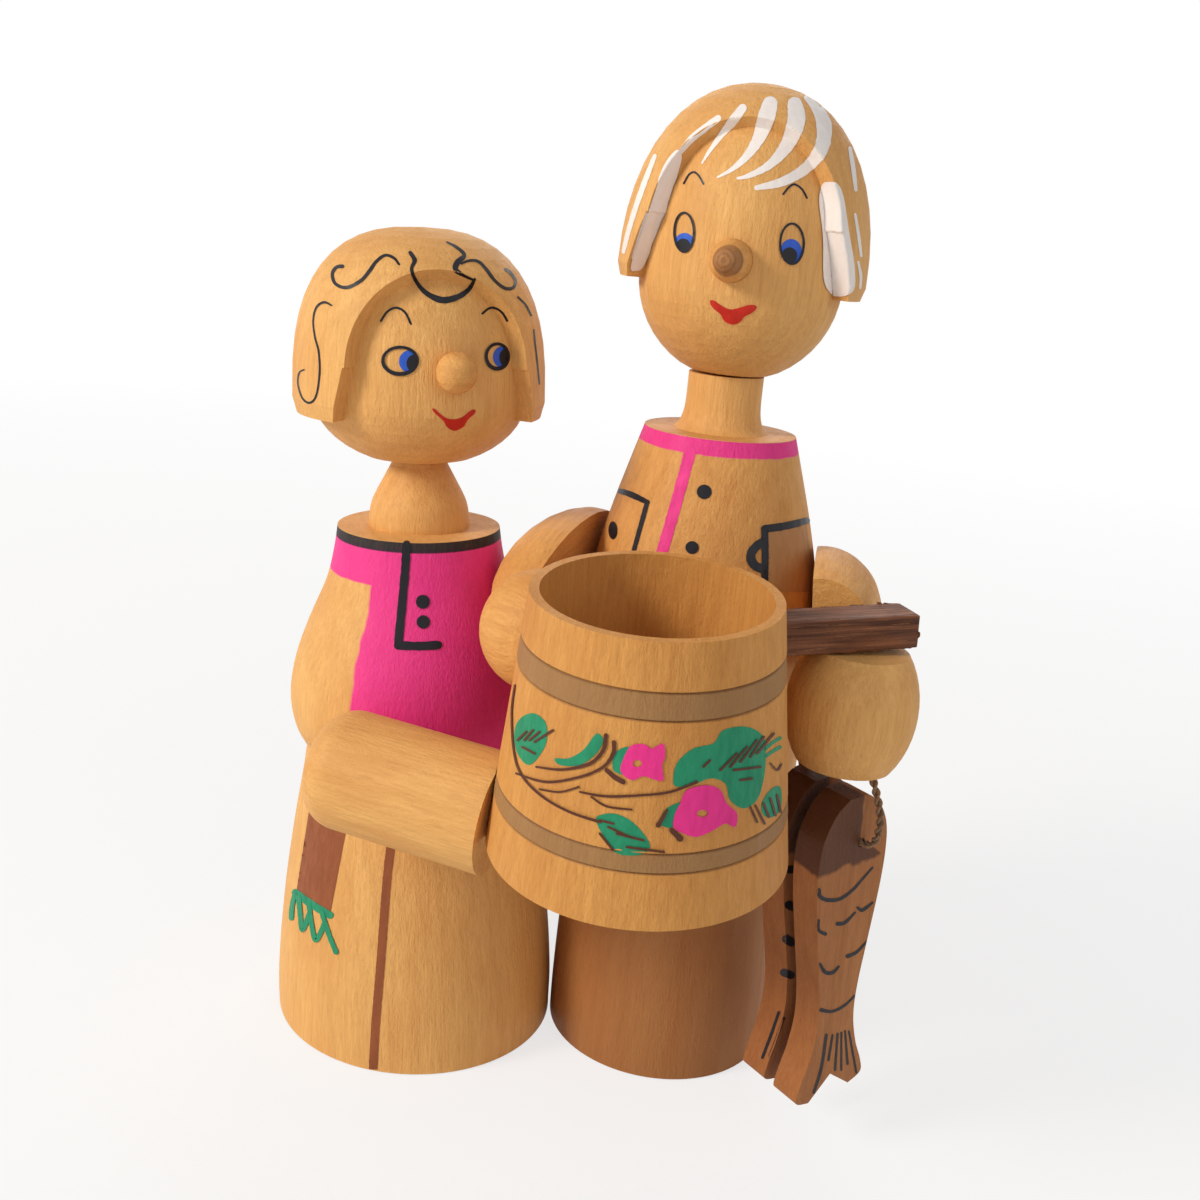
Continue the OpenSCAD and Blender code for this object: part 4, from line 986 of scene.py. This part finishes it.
def string_look():
    s = Shader("string_look")
    place = s.local()
    fibre = s.noise(place, STRING_FIBRE, 3, 0.6)
    soil = s.noise(place, STRING_SOIL)
    base = s.mix(s.step(fibre, 0.35, 0.7), STRING_LIGHT, STRING_DARK)
    base = s.mix(s.step(soil, 0.45, 0.65, 0, 0.6), base, STRING_SOILED)
    s.set({"Base Color": base, "Roughness": 0.85, "Sheen Weight": 0.2,
           "Normal": s.bump(fibre, STRING_FIBRE_DEPTH, 0.8)})
    return s.material


def plies(route):
    verts, faces = [], []
    last = len(route) - 1
    for ply in range(PLIES):
        first = len(verts)
        for i, p in enumerate(route):
            along = (route[min(i + 1, last)] - route[max(i - 1, 0)]).normalized()
            other = along.cross(fish_across).normalized()
            twist = 2 * math.pi * (i * STRING_STEP / PLY_TURN + ply / PLIES)
            out = fish_across * math.cos(twist) + other * math.sin(twist)
            mid = p + out * STRING_R * (1 - PLY_SHARE)
            for k in range(PLY_SIDES):
                a = 2 * math.pi * k / PLY_SIDES
                bulge = STRING_R * PLY_SHARE * (1 + PLY_BULGE * math.sin(PLY_BULGES * a + i))
                verts.append(mid + (fish_across * math.cos(a) + other * math.sin(a)) * bulge)
        for i in range(last):
            a, b = first + i * PLY_SIDES, first + (i + 1) * PLY_SIDES
            faces += [(a + k, a + (k + 1) % PLY_SIDES, b + (k + 1) % PLY_SIDES, b + k)
                      for k in range(PLY_SIDES)]
        faces.append(tuple(first + k for k in reversed(range(PLY_SIDES))))
        faces.append(tuple(first + last * PLY_SIDES + k for k in range(PLY_SIDES)))
    return verts, faces


route = evenly(smooth_line(string_route(), STRING_CURVE_STEPS), STRING_STEP,
               lambda a, b: (b - a).length)
string = link_mesh("twisted_string", *plies(route), string_look())
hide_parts("fish_string")
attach(string, "couple")

# Floor, lamps and world. The floor that the camera sees fades to white away from the object
FLOOR_SIDE, FLOOR_DROP = 3.0, 0.0002
FLOOR_TINT = colour(240, 239, 236)
FLOOR_PALE, FLOOR_FADE = 0.72, (0.12, 0.75)
FLOOR_GRAIN = (90, 90, 90)
WHITE = (1, 1, 1, 1)
SEEN_RAYS = ("Is Camera Ray", "Is Glossy Ray", "Is Transmission Ray")


def floor_look():
    s = Shader("floor_look")
    grain = s.noise(s.local(), FLOOR_GRAIN, 3)
    s.set({"Base Color": s.mix(s.step(grain, 0.3, 0.7, 0, 0.25), FLOOR_TINT,
                               toned(FLOOR_TINT, 0.97)),
           "Roughness": 0.9, "Specular IOR Level": 0.1})
    away = s.add("ShaderNodeVectorMath")
    away.operation = "LENGTH"
    s.put(away.inputs[0], s.local())
    pale = s.add("ShaderNodeEmission")
    pale.inputs[0].default_value = WHITE
    rays = s.add("ShaderNodeLightPath").outputs
    seen = s.highest(*[rays[kind] for kind in SEEN_RAYS])
    both = s.add("ShaderNodeMixShader")
    s.put(both.inputs[0], s.times(seen, s.step(away.outputs["Value"], *FLOOR_FADE, FLOOR_PALE, 1)))
    s.put(both.inputs[1], s.surface.outputs[0])
    s.put(both.inputs[2], pale.outputs[0])
    s.put(s.out.inputs[0], both.outputs[0])
    return s.material


corners = [(-FLOOR_SIDE, -FLOOR_SIDE, 0), (FLOOR_SIDE, -FLOOR_SIDE, 0),
           (FLOOR_SIDE, FLOOR_SIDE, 0), (-FLOOR_SIDE, FLOOR_SIDE, 0)]
floor = link_mesh("floor", corners, [(0, 1, 2, 3)], floor_look())
floor.location.z = -FLOOR_DROP


def lamp(name, at, side, power, tint):
    data = bpy.data.lights.new(name, "AREA")
    data.shape = "DISK"
    data.size = side
    data.energy = power
    data.color = tint
    obj = bpy.data.objects.new(name, data)
    bpy.context.scene.collection.objects.link(obj)
    obj.location = at
    obj.rotation_euler = (Vector(LAMP_AIM) - Vector(at)).to_track_quat("-Z", "Y").to_euler()


LAMP_AIM = (0.025, 0, 0.07)
lamp("key", (-0.62, -0.36, 0.46), 0.24, 4.8, (1.0, 0.95, 0.87))
lamp("fill", (0.5, -0.5, 0.4), 0.6, 0.7, (0.96, 0.98, 1.0))
lamp("back", (0.1, 0.7, 0.45), 0.5, 1.2, (1.0, 0.98, 0.95))

GLOW_TINT, GLOW = (0.98, 0.99, 1.0, 1), 0.42
world = bpy.data.worlds.new("world")
bpy.context.scene.world = world
world.use_nodes = True
tree = world.node_tree
tree.nodes.clear()
rays = tree.nodes.new("ShaderNodeLightPath")
glow = tree.nodes.new("ShaderNodeBackground")
glow.inputs[0].default_value = GLOW_TINT
glow.inputs[1].default_value = GLOW
white = tree.nodes.new("ShaderNodeBackground")
white.inputs[0].default_value = WHITE
chosen = tree.nodes.new("ShaderNodeMixShader")
share = chosen.inputs[0]
for kind in SEEN_RAYS:
    highest = tree.nodes.new("ShaderNodeMath")
    highest.operation = "MAXIMUM"
    highest.inputs[1].default_value = 0
    tree.links.new(highest.outputs[0], share)
    tree.links.new(rays.outputs[kind], highest.inputs[0])
    share = highest.inputs[1]
tree.links.new(glow.outputs[0], chosen.inputs[1])
tree.links.new(white.outputs[0], chosen.inputs[2])
tree.links.new(chosen.outputs[0], tree.nodes.new("ShaderNodeOutputWorld").inputs[0])
bpy.context.scene.view_settings.view_transform = "Standard"
